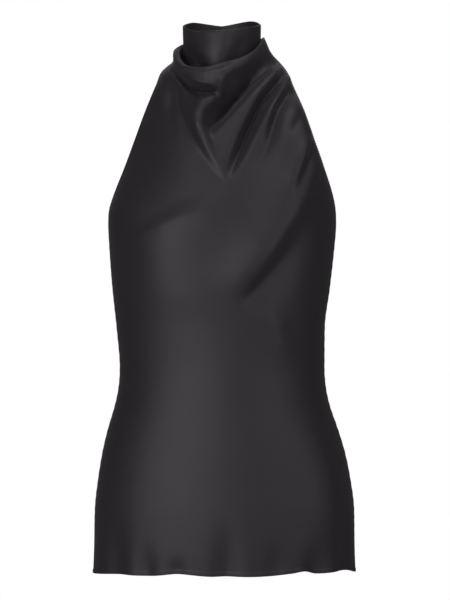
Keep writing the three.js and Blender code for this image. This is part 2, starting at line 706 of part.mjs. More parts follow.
function backGrid(side) {
  const rows = rowsOf(BACK_PANEL);
  const smooth = rows.map((v) => {
    const nape = panelPoint(BACK_PANEL, 0, v);
    const near = Math.abs(panelPoint(BACK_PANEL, side * NAPE_STEP, v).x - nape.x) / NAPE_STEP;
    const start = (keyholeHalf(nape.z) + Math.abs(nape.x)) / near;
    return Array.from({ length: BACK_COLUMNS + 1 }, (_, i) => {
      const s = side * (start + (1 - start) * (i / BACK_COLUMNS));
      return { s, p: panelPoint(BACK_PANEL, s, v) };
    });
  });
  const seams = ["x", "y"];
  const points = smooth.map((row) => row.map(({ p }) => p));
  const normals = gridNormals(points, -side, ...seams);
  const grid = smooth.map((row, j) =>
    row.map(({ s, p }, i) => {
      const nape = i === 0 ? 0 : 1 - Math.exp(-((p.x / NAPE_CALM) ** 2));
      const edge = (1 - Math.abs(s) ** EDGE_CALM_POWER) * nape;
      const flutes = flutesAt(BACK_FLUTES, p.x, p.z, BACK[0].height);
      const out = edge * foldsAt(BACK_FOLDS, p.x, p.z) + flutes;
      const moved = p.clone().addScaledVector(normals[j][i], out);
      moved.y += seamShift(BACK_PANEL, s, p.z);
      return moved;
    }),
  );
  return { grid, outward: -side, seams };
}

// The neck band: a ring open at the nape, from below the inner seam up to its own rim
function bandGrid() {
  const start = -180 + BAND_GAP_ANGLE;
  const step = (360 - 2 * BAND_GAP_ANGLE) / BAND_COLUMNS;
  const grid = BAND_ROWS.map((f) =>
    Array.from({ length: BAND_COLUMNS + 1 }, (_, i) => {
      const angle = start + i * step;
      const { rim, half, drop, bandRim, flare } = neckAt(angle);
      const foot = rim - half - drop - BAND_BELOW_SEAM;
      const height = foot + (bandRim - foot) * f;
      const radius = BAND_RADIUS + flare * THREE.MathUtils.smoothstep(height, rim, bandRim);
      const p = around(angle, radius, height);
      const folds = Math.abs(angle) < 90 ? foldsAt(BAND_FOLDS, p.x, p.z) : 0;
      const grown = THREE.MathUtils.smoothstep(height - foot, BAND_FOLDS_START, BAND_FOLDS_FULL);
      const side = THREE.MathUtils.smoothstep(90 - Math.abs(angle), 0, BAND_FOLDS_SIDE);
      const moved = around(angle, radius + folds * grown * side, height);
      moved.y -= BAND_LEAN * Math.max(height, 0);
      return moved;
    }),
  );
  return { grid, outward: 1, seams: ["x", "x"] };
}

// How far back the outer face of the cloth lies at the nape, on the panels below the roll's rim
function napeFace(height) {
  let [low, high] = [BACK.length / 2, BACK.length + THROAT.length];
  for (let step = 0; step < HALVINGS; step += 1) {
    const middle = (low + high) / 2;
    if (panelPoint(BACK_PANEL, 0, middle).z < height) low = middle;
    else high = middle;
  }
  return panelPoint(BACK_PANEL, 0, low).y;
}

// A cloth-covered ball button with a short shank towards the cloth
function ballButton() {
  const foot = -BUTTON.radius - BUTTON.shank;
  const profile = [new THREE.Vector2(0, foot), new THREE.Vector2(BUTTON.shankRadius, foot)];
  for (let turn = BUTTON.firstTurn; turn < 90; turn += BUTTON.turnStep) {
    const a = THREE.MathUtils.degToRad(turn);
    profile.push(new THREE.Vector2(BUTTON.radius * Math.cos(a), BUTTON.radius * Math.sin(a)));
  }
  profile.push(new THREE.Vector2(0, BUTTON.radius));
  return new THREE.LatheGeometry(profile, BUTTON.segments);
}

// A thin rouleau loop round the button, lying on the cloth, with both ends sewn down on the left
function rouleauLoop({ height, faceAt, bend, clear }) {
  const path = [...LOOP_PATH, ...LOOP_PATH.slice(0, -1).reverse().map(([x, z]) => [x, -z])];
  const points = path.map(([x, z]) => {
    const rise = THREE.MathUtils.clamp((x - LOOP.riseFrom) * LOOP.rise, 0, LOOP.mostRise);
    const face = faceAt(height + z) + LOOP.radius + clear;
    return new THREE.Vector3(x, face + rise - (x * x) / bend, height + z);
  });
  const shape = new THREE.Shape();
  shape.absarc(0, 0, LOOP.radius, 0, 2 * Math.PI, false);
  const extrudePath = new THREE.CatmullRomCurve3(points);
  const { sides, steps } = LOOP;
  return new THREE.ExtrudeGeometry(shape, { curveSegments: sides, steps, extrudePath });
}

const SATIN = { color: 0x1c1a1c, roughness: 0.42 };
const SATIN_DOUBLED = { color: 0x1b191b, roughness: 0.42 };
const SATIN_OVER_BUTTON = { color: 0x1e1c1e, roughness: 0.38 };

const top = new THREE.Group();

function addPiece(name, geometry, look) {
  const piece = new THREE.Mesh(geometry, new THREE.MeshStandardMaterial({ ...look, metalness: 0 }));
  piece.name = name;
  top.add(piece);
  return piece;
}

addPiece("front_panel", wallOf(frontGrid(), CLOTH), SATIN);
addPiece("back_panel_right", wallOf(backGrid(1), CLOTH), SATIN);
addPiece("back_panel_left", wallOf(backGrid(-1), CLOTH), SATIN);
addPiece("neck_band", wallOf(bandGrid(), BAND_CLOTH), SATIN_DOUBLED);

// Fastenings at the nape: one on the neck band, one on the roll, each with the face that it lies on,
// how that face bends round the neck, and how far off it the loop lies
const bandFace = (height) => NECK_Y + BAND_RADIUS + NECK[0].flare - BAND_LEAN * height;
const FASTENINGS = table(["name", "height", "faceAt", "bend", "clear"], [
  ["upper", 41, bandFace, 100, SEAM_GAP],
  ["lower", 15, napeFace, 150, 0.9],
]);
for (const fastening of FASTENINGS) {
  const { name, height, faceAt } = fastening;
  const button = addPiece(`button_${name}`, ballButton(), SATIN_OVER_BUTTON);
  button.position.set(BUTTON.x, faceAt(height) + BUTTON.radius + BUTTON.shank + SEAM_GAP, height);
  addPiece(`loop_${name}`, rouleauLoop(fastening), SATIN);
}

export default top;
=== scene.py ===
import math

import bpy
import numpy as np
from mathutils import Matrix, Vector


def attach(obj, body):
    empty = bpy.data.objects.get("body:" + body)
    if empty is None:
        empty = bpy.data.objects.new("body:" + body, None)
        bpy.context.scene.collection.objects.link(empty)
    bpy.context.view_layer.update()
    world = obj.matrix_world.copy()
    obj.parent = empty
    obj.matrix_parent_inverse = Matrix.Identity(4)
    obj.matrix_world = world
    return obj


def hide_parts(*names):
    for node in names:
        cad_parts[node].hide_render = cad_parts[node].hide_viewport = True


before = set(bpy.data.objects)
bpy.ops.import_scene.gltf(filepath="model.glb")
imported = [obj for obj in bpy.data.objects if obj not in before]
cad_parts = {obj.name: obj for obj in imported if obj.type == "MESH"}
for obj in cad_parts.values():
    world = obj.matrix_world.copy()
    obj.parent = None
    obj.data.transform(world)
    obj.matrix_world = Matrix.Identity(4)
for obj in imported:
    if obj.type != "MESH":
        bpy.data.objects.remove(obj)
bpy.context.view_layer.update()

# A sleeveless halter neck top in black satin. The forms below are worked out in millimetres, in the
# same frame as the CAD part, and turned into metres when a mesh is made.
MM = 0.001

# Cloth and seams
CLOTH = 1.2
BAND_CLOTH = 1.8
SEWN_GAP = 0.04
ROLL_SEAM_GAP = 0.46

# How far a curve may swing between its knots, how the sections bow and rise to their edges, how
# close to the edges the folds calm down, how sharply ridges and troughs round off, and how the cloth
# comes down inside the roll
SLOPE_LIMIT = 2.4
BOW_POWER = 0.86
EDGE_RISE_POWER = 2.4
EDGE_CALM_POWER = 8
RIDGE_POWER = 2
TROUGH_POWER = 1.6
ROLL_INSIDE_POWER = 1.5

# Neck band
NECK_Y = 5
BAND_RADIUS = 49.8
BAND_LEAN = 0.06
BAND_BELOW_SEAM = 3
BAND_GAP_ANGLE = 0.12
BAND_FOLDS_START = 2
BAND_FOLDS_FULL = 20
BAND_FOLDS_SIDE = 12

# Side vents, keyhole and fastening
VENT = dict(top=-578, bottom=-650, half_gap=2.4, open_power=1.5, edge_power=10)
KEYHOLE = dict(top=8, bottom=-96, widest=-70, half_width=9, closed=0.5)
KEYHOLE_EDGE = (-100, -92)
NAPE_CALM = 12
FASTENING_GAP = 0.3
BUTTON = dict(radius=4.6, shank_radius=1.4, shank=1.6, x=4.2)
BUTTON_FOOT = dict(taper=0.9, rounding=0.3, into_head=0.05)
BUTTON_HEAD = dict(start=-68, end=88, rings=27, sides=48)
BUTTON_GATHERS = dict(count=9, depth=0.02, behind=(1.5, 4.4))
LOOP = dict(radius=1, rise=0.18, most_rise=1.6, rise_from=-2, sides=14, steps=8)
LOOP_PATH = [(-12, 2.4), (-6, 2.8), (-1, 4.6), (4.2, 6), (8.4, 4.4), (10.2, 0)]
# Each fastening's name and height, how its loop bends round the neck, and the loop's clearance
FASTENINGS = [("upper", 41, 100, 0.3), ("lower", 15, 150, 0.9)]

# Sections of the front and of the back from the hem up: height, depth, left and right half-widths,
# edge y, left and right edge heights, and the arc's half-angle
FRONT_SECTIONS = [
    (-649.5, 116, 164.8, 170.8, 0, -653, -651.5, 90),
    (-618, 118, 163.6, 169.8, 0, -620, -619, 90),
    (-570, 119, 162.6, 169.0, 0, -570, -570, 90),
    (-535, 118, 158.8, 164.6, 0, -535, -535, 90),
    (-500, 117, 153.2, 157.6, 0, -500, -500, 90),
    (-470, 115, 146.2, 148.6, 0, -470, -470, 90),
    (-440, 113, 137.4, 138.2, 0, -440, -440, 90),
    (-416, 112.4, 132.4, 133.0, 0, -416, -416, 90),
    (-390, 112, 130.8, 131.2, 0, -390, -390, 90),
    (-340, 114, 134.8, 131.6, 0, -340, -340, 90),
    (-290, 117.6, 140.0, 137.9, 0, -290, -290, 90),
    (-245, 118.2, 143.5, 143.0, 0, -245, -245, 90),
    (-207, 115.9, 145.6, 146.0, 0, -207, -207, 89),
    (-192, 113.8, 144.2, 144.9, -11, -192, -192, 85),
    (-168, 109.2, 136.6, 139.6, -23, -168, -168, 79),
    (-136, 101.2, 124.0, 128.6, -33, -136, -136, 71),
    (-104, 93.2, 111.0, 115.6, -36, -100, -100, 67),
    (-72, 86, 98.0, 103.2, -29, -64, -64, 71),
    (-46, 78, 84.2, 91.0, -10, -31, -33, 82),
    (-32, 71.5, 78.6, 84.4, 5, -15, -15, 90),
    (-23, 67, 70.5, 75.2, 5, -5.5, -1.5, 90),
]
BACK_SECTIONS = [
    (-653, 117, 164.8, 170.8, 0, -653, -651.5, 90),
    (-618, 121, 163.6, 169.8, 0, -620, -619, 90),
    (-570, 122, 162.6, 169.0, 0, -570, -570, 90),
    (-535, 119, 158.8, 164.6, 0, -535, -535, 90),
    (-500, 113, 153.2, 157.6, 0, -500, -500, 90),
    (-470, 105, 146.2, 148.6, 0, -470, -470, 90),
    (-440, 97, 137.4, 138.2, 0, -440, -440, 90),
    (-416, 91, 132.4, 133.0, 0, -416, -416, 90),
    (-390, 87, 130.8, 131.2, 0, -390, -390, 90),
    (-340, 89, 134.8, 131.6, 0, -340, -340, 90),
    (-290, 95, 140.0, 137.9, 0, -290, -290, 90),
    (-245, 100, 143.5, 143.0, 0, -245, -245, 90),
    (-207, 102, 145.6, 146.0, 0, -207, -207, 89),
    (-192, 103, 143.2, 143.8, 11, -192, -192, 85),
    (-168, 103, 133.4, 136.4, 24, -168, -168, 80),
    (-136, 101, 119.6, 124.2, 35, -136, -136, 74),
    (-104, 97, 106.4, 110.8, 39, -100, -100, 71),
    (-70, 89, 94.0, 99.0, 34, -64, -64, 75),
    (-38, 79, 82.6, 89.6, 14, -31, -33, 84),
    (-20, 72, 78.6, 84.4, 5, -15, -15, 90),
    (-9, 67, 70.5, 75.2, 5, -5.5, -1.5, 90),
]

# The roll round the neck by angle from the front: its rim's height, outer radius, half the distance
# between its layers, the drop to the band's seam, how far it is drawn in, and the band's rim and flare
NECK_COLUMNS = ("angle", "rim", "outer", "half", "drop", "drawn", "band_rim", "flare")
NECK_ROWS = [
    (-180, 28, 53.4, 1.5, 15, 1.0, 49.6, 0.4),
    (-135, 28, 55.0, 2.2, 16, 2.0, 53.0, 0.4),
    (-110, 24.5, 59.0, 3.4, 18, 3.6, 49.5, 0.4),
    (-90, 17.5, 62.4, 4.6, 20, 4.6, 46.0, 0.6),
    (-68, 4, 65.0, 5.2, 19, 2.6, 41.5, 0.2),
    (-45, -8, 67.4, 5.4, 17, 0.0, 36.6, -0.4),
    (-22, -10.6, 67.4, 5.0, 16, -1.0, 35.4, 0.2),
    (0, -4.4, 65.0, 4.4, 16, -1.0, 36.4, 1.0),
    (22, 1.0, 61.2, 3.2, 16, 0.0, 38.6, 1.8),
    (45, 10.0, 57.8, 2.4, 16, 1.0, 41.6, 1.6),
    (68, 22.5, 55.0, 1.5, 16, 2.2, 44.8, 0.8),
    (90, 32.0, 54.6, 1.5, 16, 3.4, 47.4, 0.2),
    (135, 31, 53.6, 1.5, 16, 2.2, 54.6, 0.2),
    (180, 28, 53.4, 1.5, 15, 1.0, 49.6, 0.4),
]
NECK = dict(zip(NECK_COLUMNS, np.array(NECK_ROWS, float).T))

# Folds as soft ridges and troughs, seen from the front: the half-width on the right-hand side of the
# track as it is followed, the half-width on its left-hand side, and the track's x, z and height
FRONT_FOLDS = [
    # roll crest running down to the breastbone
    (15, 7, [(54.1, 15.7, 3), (41.5, 6.9, 5), (27, -3, 6), (13, -12, 7), (4, -21, 8), (0, -33, 9),
             (-3, -44, 9), (-10, -53, 10), (-20, -60, 11), (-25, -71, 12), (-26.3, -86, 12), (-24, -97, 11),
             (-20, -109, 9), (-12, -127, 5), (-2, -142, 2), (4, -158, 0)]),
    # deep trough under the roll
    (14, 5.5, [(70, 3, -3), (57, -9, -13), (44.5, -21, -21), (33.5, -32, -26), (23.5, -43.5, -28),
               (14, -54.5, -28), (4, -66, -26), (-5, -76.5, -21), (-11, -84.5, -13), (-15, -92, -6),
               (-17, -103, 0)]),
    # second ridge
    (11, 6, [(62, 0, 0), (66, -10.7, 4), (65, -22, 7), (57, -35.8, 7), (44.5, -49.6, 6), (36, -66, 5),
             (27.7, -83.5, 4), (18.9, -102.4, 3), (10.1, -123.7, 2), (1, -152, 0)]),
    # second trough
    (9, 5, [(80, -12, 0), (72, -28, -9), (60.5, -43.4, -16), (49.5, -60.9, -19), (41, -78.5, -19),
            (32, -97.4, -17), (23.5, -116.2, -14), (15, -133.8, -8), (7, -152, 0)]),
    # third ridge
    (11, 6, [(88, -14, 0), (80.5, -24, 4), (71.7, -40.8, 5), (60.4, -60.9, 5), (51.6, -81, 4),
             (41.5, -101.1, 3), (22.7, -143.8, 0)]),
    # third trough
    (6, 7, [(86, -36, 0), (79.2, -50.9, -7), (71.7, -66, -10), (65.4, -83.5, -10), (59.1, -103.6, -7),
            (52.8, -118.7, -3.5), (45, -136, 0)]),
    # dimple by the armhole
    (6, 6, [(97, -70, 0), (88.3, -86.5, -3.2), (80, -101, 0)]),
    # fourth ridge
    (10, 6, [(112, -84, 0), (101.9, -109.7, 4), (94.4, -128.6, 5), (86.8, -151.2, 3), (78, -174, 0)]),
    # fourth trough
    (5.5, 6, [(116, -94, 0), (107.6, -115.8, -4.5), (101.3, -133.4, -5.5), (95, -151, -4), (86, -174, 0)]),
    # small trough at the armhole
    (5, 5, [(131, -132, -1), (121.2, -150.6, -3), (113.7, -165.8, -2), (107, -180, 0)]),
    # long drag line from the armhole to under the bust, and the hollow under it
    (34, 15, [(122, -108, 0), (112.7, -133.2, 3), (105.2, -152, 4), (96.4, -173.3, 6), (85.2, -194.5, 8),
              (71.4, -217.1, 10), (55.1, -244.6, 11), (38.9, -269.6, 9), (26.4, -288.4, 5), (14, -308, 0)]),
    (12, 19, [(104, -216, 0), (84, -244, -3), (62, -270, -6), (44, -290, -8), (32, -302, -4), (24, -312, 0)]),
    # soft rise below the hollow
    (18, 16, [(44, -302, 0), (56, -318, 3), (66, -336, 4), (73, -362, 3), (76, -396, 0)]),
    # crease along the left of the roll crest
    (11, 6, [(-60, -34, -3), (-55, -59.5, -5.5), (-46, -80, -7), (-35, -102, -7), (-24, -122, -6),
             (-11, -142, -3.5), (6, -162, 0)]),
    # pocket under the swag
    (9, 6, [(-60, -22, 0), (-51, -32, -4), (-41, -41, -5), (-30, -46, -5), (-20, -48, -3), (-12, -49, 0)]),
    # hollow up to the left shoulder
    (9, 9, [(-64, -14, -1), (-67.5, -32, -3), (-68, -52, -4), (-65.7, -72, -3), (-61, -100, 0)]),
    # upper edge of the full part of the chest, where the cloth turns back towards the armhole
    (14, 38, [(24, -172, 0), (2, -182, 2.5), (-22, -192, 4.5), (-48, -203, 5.2), (-74, -215, 5),
              (-98, -227, 3), (-122, -240, 0)]),
    # soft ridge over the right hip
    (34, 18, [(96, -440, 0), (118, -486, 3), (132, -530, 5), (134, -570, 5), (128, -618, 2), (124, -650, 0)]),
]
BACK_FOLDS = [
    # drag lines from the armholes
    (20, 16, [(-120, -176, 0), (-98, -214, 4), (-72, -256, 6), (-46, -298, 5), (-26, -336, 0)]),
    (18, 15, [(122, -188, 0), (102, -228, 4), (80, -270, 5), (60, -312, 4), (46, -352, 0)]),
    # creases over the seat
    (15, 12, [(124, -404, 0), (92, -424, -3.5), (56, -432, -4.5), (22, -426, -2), (0, -420, 0)]),
    (15, 12, [(-122, -392, 0), (-90, -408, -3.5), (-54, -414, -4), (-20, -406, -2), (0, -402, 0)]),
    # pulls from the keyhole
    (11, 10, [(-16, -44, 0), (-36, -76, 3), (-58, -112, 4), (-80, -150, 2), (-94, -182, 0)]),
    (10, 11, [(18, -34, 0), (40, -66, 3), (62, -104, 4), (82, -146, 2.5), (98, -184, 0)]),
]
BAND_FOLDS = [
    # crest down the front of the band, the shallow hollow beside it, and the one at its left foot
    (26, 18, [(4, 46, 2), (2, 32, 6), (-1, 16, 9), (-6, 0, 9), (-14, -18, 5)]),
    (10, 20, [(44, 34, 0), (30, 24, -1), (20, 12, -1.5), (12, 0, -1.5)]),
    (8, 14, [(-22, -16, -7), (-30, -6, -9), (-38, 4, -8), (-44, 14, -4), (-49, 25, 0)]),
]

# The swag at the left of the roll: x, its lower edge, its step outward and how far it hangs. Then how
# it bulges over that edge and turns in under it, in shares of its reach, and how the rows of the mesh
# move to follow that edge.
SWAG_X, SWAG_EDGE, SWAG_STEP, SWAG_HANG = np.array([
    (-68, -12, 0, 0), (-57, -22, 9, 2), (-46, -32.5, 16, 3.5), (-34, -40, 19, 4.5),
    (-22, -44, 18, 4.5), (-12, -47, 11, 3), (-3, -49, 3, 0), (6, -50, 0, 0),
], float).T
SWAG_REACH = 6
SWAG_BULGE = dict(rise=(0.3, 2.0), full=2.6, fall=5, step=1.1, under=0.75, under_at=0.3, under_wide=0.95)
SWAG_ROW = 18.5
SWAG_ROWS_MOVED = 1.7
SWAG_ROWS_SEARCHED = (-1, 1.5)
SWAG_MIDDLE = (0, 0.5)

# How the columns of the front draw closer towards the neck, by height
GATHER = dict(start=-320, end=-160, closer=0.32, lean=0.06)

# Flutes along the hem: x of the trough, half-width, depth and reach
FRONT_FLUTES = [(-134, 14, 6, 50), (-95, 12, 5, 30), (-56, 11, 3.6, 16), (6, 14, 7, 44),
                (66, 15, 6, 36), (118, 13, 6, 30), (154, 9, 4, 50)]
BACK_FLUTES = [(-128, 16, 4.5, 44), (-74, 16, 4.5, 34), (-22, 14, 3.6, 26), (34, 16, 4.5, 40),
               (88, 15, 4, 28), (138, 13, 4.5, 46)]
# How far the front hem lifts, by x
HEM_LIFT_X, HEM_LIFT = np.array([
    (-170, 0), (-134, 1.5), (-95, 0.6), (-56, 3.7), (-8, 0.8), (60, 0.6), (86, 3.6),
    (104, 6), (122, 2.4), (142, 3.6), (158, 5), (172, 0),
], float).T
HEM_LIFT_REACH = 34

# Ripples beside the side seams, the fuller parts of the chest (x, z, widths both ways and how far they
# stand out), and the roll standing forward
SEAM_FOOT = (-640, -560)
SEAM_TOP = (-236, -214)
PUCKER = dict(wave=1.9, uneven=1.6, long_wave=23, height=0.32, wide=9, pinch=0.4, pinch_wide=4)
BUST_FORMS = [(-70, -262, 50, 68, 7), (92, -124, 40, 90, 13)]
ROLL_FORWARD = dict(most=14, middle=34, wide=36)

# The wearer's turn: the left of the chest lies further back and the right further forward. Each row is
# the most it moves, and where it grows and fades: x from and to, z from and to below, z from and to above
CHEST_TURN = [
    (26, (-26, -118), (-206, -84), (-68, -30)),
    (-16, (24, 112), (-206, -96), (-72, -32)),
]

# The roll's points over its rim and down inside it, and the stations of the throat below it: how far
# up to the roll, and the share of its draw
ROLL_ANGLES = np.radians([0, 60, 120, 180])
ROLL_INSIDE = 2
ROLL_POINTS = len(ROLL_ANGLES) + ROLL_INSIDE
THROAT = np.array([(0.4, 1.0), (0.75, 0.5)])

# Rows, counted from the first section: the ends of the armhole and the closer rows at the roll
ARMHOLE_START = (12.3, 13.2)
ARMHOLE_END = (19.4, 20.2)
FINE_ROLL_ROWS = (17.4, 19.9)

# Rows, counted from the last section, over which a form at the neck grows or fades
ROLL_GROWS = (-1.5, 2)
FOLDS_FADE = (-0.8, 2.4)
SWAG_FADE = (0.5, 3.5)
INSIDE_FADE = (4, 6.2)

# Mesh spacing: rows are spaced by the cloth's length at the middle and at SIDE_PLACE, and are closer
# below the heights given for the hems. NEAR_NAPE is where a back panel's width is measured from.
ROW_SPACING = 2.7
FINE_SPACING = 0.9
ROW_SAMPLES = 4001
SIDE_PLACE = -0.45
NEAR_NAPE = 0.1
FINE_FRONT_HEM = -642
FINE_BACK_HEM = -645
FRONT_COLUMNS = 152
BACK_COLUMNS = 84
BAND_COLUMNS = 241
BAND_ROWS = 34
END_SHARES = np.array([0.2, 0.4, 0.6, 0.8])
SEARCH_STEPS = 30

# Turned and stitched edges, and how far each edge of a shell rounds out: first and last row, then
# first and last column
HEM = dict(width=5.0, rise=0.55)
ARMHOLE_EDGE = dict(width=3.6, rise=0.5)
EDGE_SHOULDER = (0.72, 1.12)
PANEL_BULGE = (0.5, 0, 0.1, 0.1)
BAND_BULGE = (0, 0.7, 0.2, 0.2)
HEM_STITCHES = 3.4
EDGE_STITCHES = 2.3
STITCH = dict(pitch=3.3, length=2.5, sides=6)
# A stitch along its length: share of the length, radius and height over the cloth
STITCH_PROFILE = [(0, 0.14, -0.22), (0.2, 0.26, 0.12), (0.8, 0.26, 0.12), (1, 0.14, -0.22)]

# A panel's edge has stitches where its row is this fully on the armhole or the keyhole
FULLY = 0.9

# The satin's weave: its turn on the flat cloth, how long the floats are and how much the threads
# show, then how far roughness and tone wander
BIAS = math.radians(45)
FLOAT_STRETCH = 0.28
THREAD_SHARE = 0.5
ROUGHNESS_SPREAD = 0.035
TONE_SPREAD = 0.12

# The studio, in metres and watts. Each soft light has its name, place, target, size and power.
CAMERA = dict(lens=187.5, sensor=36, sees_to=100, place=(0.00384, -4.0, -0.3046))
SOFTBOXES = [
    ("key", (-1.7, -3.1, 0.0), (0, 0, -0.3), (3.4, 2.6), 57),
    ("fill", (2.5, -2.6, 0.1), (0, 0, -0.3), (2.0, 2.4), 19),
    ("behind", (0, 3.0, 1.2), (0, 0, -0.3), (2.4, 2.0), 15),
    ("top", (0.5, -0.8, 2.3), (0, 0, -0.15), (2.8, 2.2), 24),
]
WORLD = dict(seen=1.0, lit=0.035)
FLOOR = dict(radius=6, height=-1.45, sides=64, tone=0.45, roughness=0.9)


def smoothstep(x, low, high):
    """Grows softly from 0 at low to 1 at high."""
    f = np.clip((np.asarray(x, float) - low) / (high - low), 0, 1)
    return f * f * (3 - 2 * f)


def limited(before, after, mean):
    """The slope at a knot, held back so that the curve never swings past its values."""
    most = SLOPE_LIMIT * np.minimum(np.abs(before), np.abs(after))
    return np.where(before * after > 0, np.sign(mean) * np.minimum(np.abs(mean), most), 0)


def hermite(f, span, a, slope_a, b, slope_b):
    """The cubic from a to b with the slopes given at both, at the share f of the span."""
    f2 = f * f
    f3 = f2 * f
    return (2 * f3 - 3 * f2 + 1) * a + (f3 - 2 * f2 + f) * span * slope_a \
        + (3 * f2 - 2 * f3) * b + (f3 - f2) * span * slope_b


def through_knots(knots, values, at):
    """A smooth curve through values at knots, for an array of places."""
    at = np.asarray(at, float)
    rise = np.diff(values) / np.diff(knots)
    mean = (values[2:] - values[:-2]) / (knots[2:] - knots[:-2])
    slope = np.concatenate([rise[:1], limited(rise[:-1], rise[1:], mean), rise[-1:]])
    i = np.clip(np.searchsorted(knots, at) - 1, 0, len(knots) - 2)
    span = knots[i + 1] - knots[i]
    f = np.clip((at - knots[i]) / span, 0, 1)
    return hermite(f, span, values[i], slope[i], values[i + 1], slope[i + 1])


def neck_at(angle):
    """The measures of the roll and the band at angles round the neck."""
    turned = (np.asarray(angle, float) + 540) % 360 - 180
    return {name: through_knots(NECK["angle"], NECK[name], turned) for name in NECK_COLUMNS[1:]}


def around(angle, radius, height):
    """Points round the neck, where angle 0 is the front and 90 the right."""
    a = np.radians(angle)
    return np.stack(np.broadcast_arrays(radius * np.sin(a), NECK_Y - radius * np.cos(a), height), -1)


class Panel:
    """A front or back panel: its smooth form is a stack of sections, then the throat and the roll.
    On it s runs from -1 at the left edge to 1 at the right, and v counts the stations from the hem."""

    def __init__(self, sections, facing):
        self.sections = np.array(sections, float)
        self.facing = facing
        self.count = len(sections)
        self.last = self.count + len(THROAT) + ROLL_POINTS - 1

    def section_points(self, index, s):
        height, depth, left, right, edge_y, left_height, right_height, arc = self.sections[index].T
        arc = np.radians(arc)
        q = np.sin(s * arc) / np.sin(arc)
        bow = np.maximum((np.cos(s * arc) - np.cos(arc)) / (1 - np.cos(arc)), 0) ** BOW_POWER
        mean, tilt = (left_height + right_height) / 2, (right_height - left_height) / 2
        away = np.abs(s) ** EDGE_RISE_POWER
        return np.stack([
            (left + right) / 2 * q + (right - left) / 2 * q * q,
            edge_y + self.facing * (depth - self.facing * edge_y) * bow,
            height + (mean - height) * away + tilt * np.sign(s) * away,
        ], -1)

    def roll_points(self, angle, index):
        n = neck_at(angle)
        middle = n["outer"] - n["half"]
        seam = BAND_RADIUS + ROLL_SEAM_GAP
        turn = ROLL_ANGLES[np.minimum(index, len(ROLL_ANGLES) - 1)]
        height = n["rim"] - n["half"] + n["half"] * np.sin(turn)
        over = around(angle, middle + n["half"] * np.cos(turn), height)
        share = np.maximum(index - len(ROLL_ANGLES) + 1, 0) / ROLL_INSIDE
        inner = middle - n["half"]
        radius = inner + (seam - inner) * share ** ROLL_INSIDE_POWER
        down = around(angle, radius, n["rim"] - n["half"] - n["drop"] * share)
        return np.where((index < len(ROLL_ANGLES))[..., None], over, down)

    def station_points(self, index, s):
        """Points of the stations by number: a section, a place on the throat or one on the roll."""
        out = self.section_points(np.minimum(index, self.count - 1), s)
        angle = 90 * s if self.facing < 0 else 180 - 90 * s
        above = index - self.count
        throat = (above >= 0) & (above < len(THROAT))
        up, draw = THROAT[np.clip(above[throat], 0, len(THROAT) - 1)].T
        foot, top = out[throat], self.roll_points(angle[throat], np.zeros(throat.sum(), int))
        inward = around(angle[throat], 1, 0) - (0, NECK_Y, 0)
        drawn = (draw * neck_at(angle[throat])["drawn"])[:, None]
        out[throat] = foot + (top - foot) * up[:, None] - inward * drawn
        roll = above >= len(THROAT)
        out[roll] = self.roll_points(angle[roll], above[roll] - len(THROAT))
        return out

    def points(self, s, v):
        """Points of the smooth form, on curves through the stations."""
        s, v = np.broadcast_arrays(np.asarray(s, float), np.asarray(v, float))
        shape = s.shape
        s, v = s.ravel(), v.ravel()
        i = np.clip(np.floor(v).astype(int), 0, self.last - 1)
        p = [self.station_points(np.clip(i + k, 0, self.last), s) for k in (-1, 0, 1, 2)]
        length = [np.linalg.norm(b - a, axis=-1) for a, b in zip(p, p[1:])]
        gap = [np.maximum(np.sqrt(each), 1e-6)[:, None] for each in length]
        rise = [(b - a) / g for a, b, g in zip(p, p[1:], gap)]
        slope_a = limited(rise[0], rise[1], (p[2] - p[0]) / (gap[0] + gap[1]))
        slope_b = limited(rise[1], rise[2], (p[3] - p[1]) / (gap[1] + gap[2]))
        slope_a = np.where((i == 0)[:, None], rise[1], slope_a)
        slope_b = np.where((i == self.last - 1)[:, None], rise[1], slope_b)
        f = np.clip(v - i, 0, 1)[:, None]
        return hermite(f, gap[1], p[1], slope_a, p[2], slope_b).reshape(*shape, 3)

    def rows(self, fine):
        """Rows of v about evenly spaced up the panel, closer where fine(height, v) says."""
        v = np.linspace(0, self.last, ROW_SAMPLES)
        middle = self.points(np.zeros_like(v), v)
        side = self.points(np.full_like(v, SIDE_PLACE), v)
        step = np.maximum(*(np.linalg.norm(np.diff(line, axis=0), axis=1) for line in (middle, side)))
        spacing = np.where(fine(middle[1:, 2], v[1:]), FINE_SPACING, ROW_SPACING)
        along = np.concatenate([[0], np.cumsum(step / spacing)])
        count = int(math.ceil(along[-1]))
        return np.interp(np.linspace(0, along[-1], count + 1), along, v)


FRONT = Panel(FRONT_SECTIONS, -1)
BACK = Panel(BACK_SECTIONS, 1)


def folds_at(folds, x, z):
    """The height of all the folds at points seen from the front."""
    total = np.zeros_like(x)
    for right_half, left_half, track in folds:
        nearest = np.full_like(x, np.inf)
        height = np.zeros_like(x)
        for (ax, az, ah), (bx, bz, bh) in zip(track, track[1:]):
            dx, dz = bx - ax, bz - az
            f = np.clip(((x - ax) * dx + (z - az) * dz) / (dx * dx + dz * dz), 0, 1)
            away = np.hypot(x - ax - f * dx, z - az - f * dz)
            half = np.where((x - ax) * dz - (z - az) * dx < 0, left_half, right_half)
            here = away < nearest
            tall = ah + (bh - ah) * f
            power = np.where(tall < 0, TROUGH_POWER, RIDGE_POWER)
            height = np.where(here, tall * np.exp(-((away / half) ** power)), height)
            nearest = np.minimum(away, nearest)
        total += height
    return total


def chest_turn_at(x, z):
    """How far the chest moves back, or forward where it is below 0."""
    total = 0
    for most, across, below, above in CHEST_TURN:
        out_from_middle = smoothstep(x * np.sign(across[1]), *np.abs(across))
        total = total + most * out_from_middle * smoothstep(z, *below) * (1 - smoothstep(z, *above))
    return total


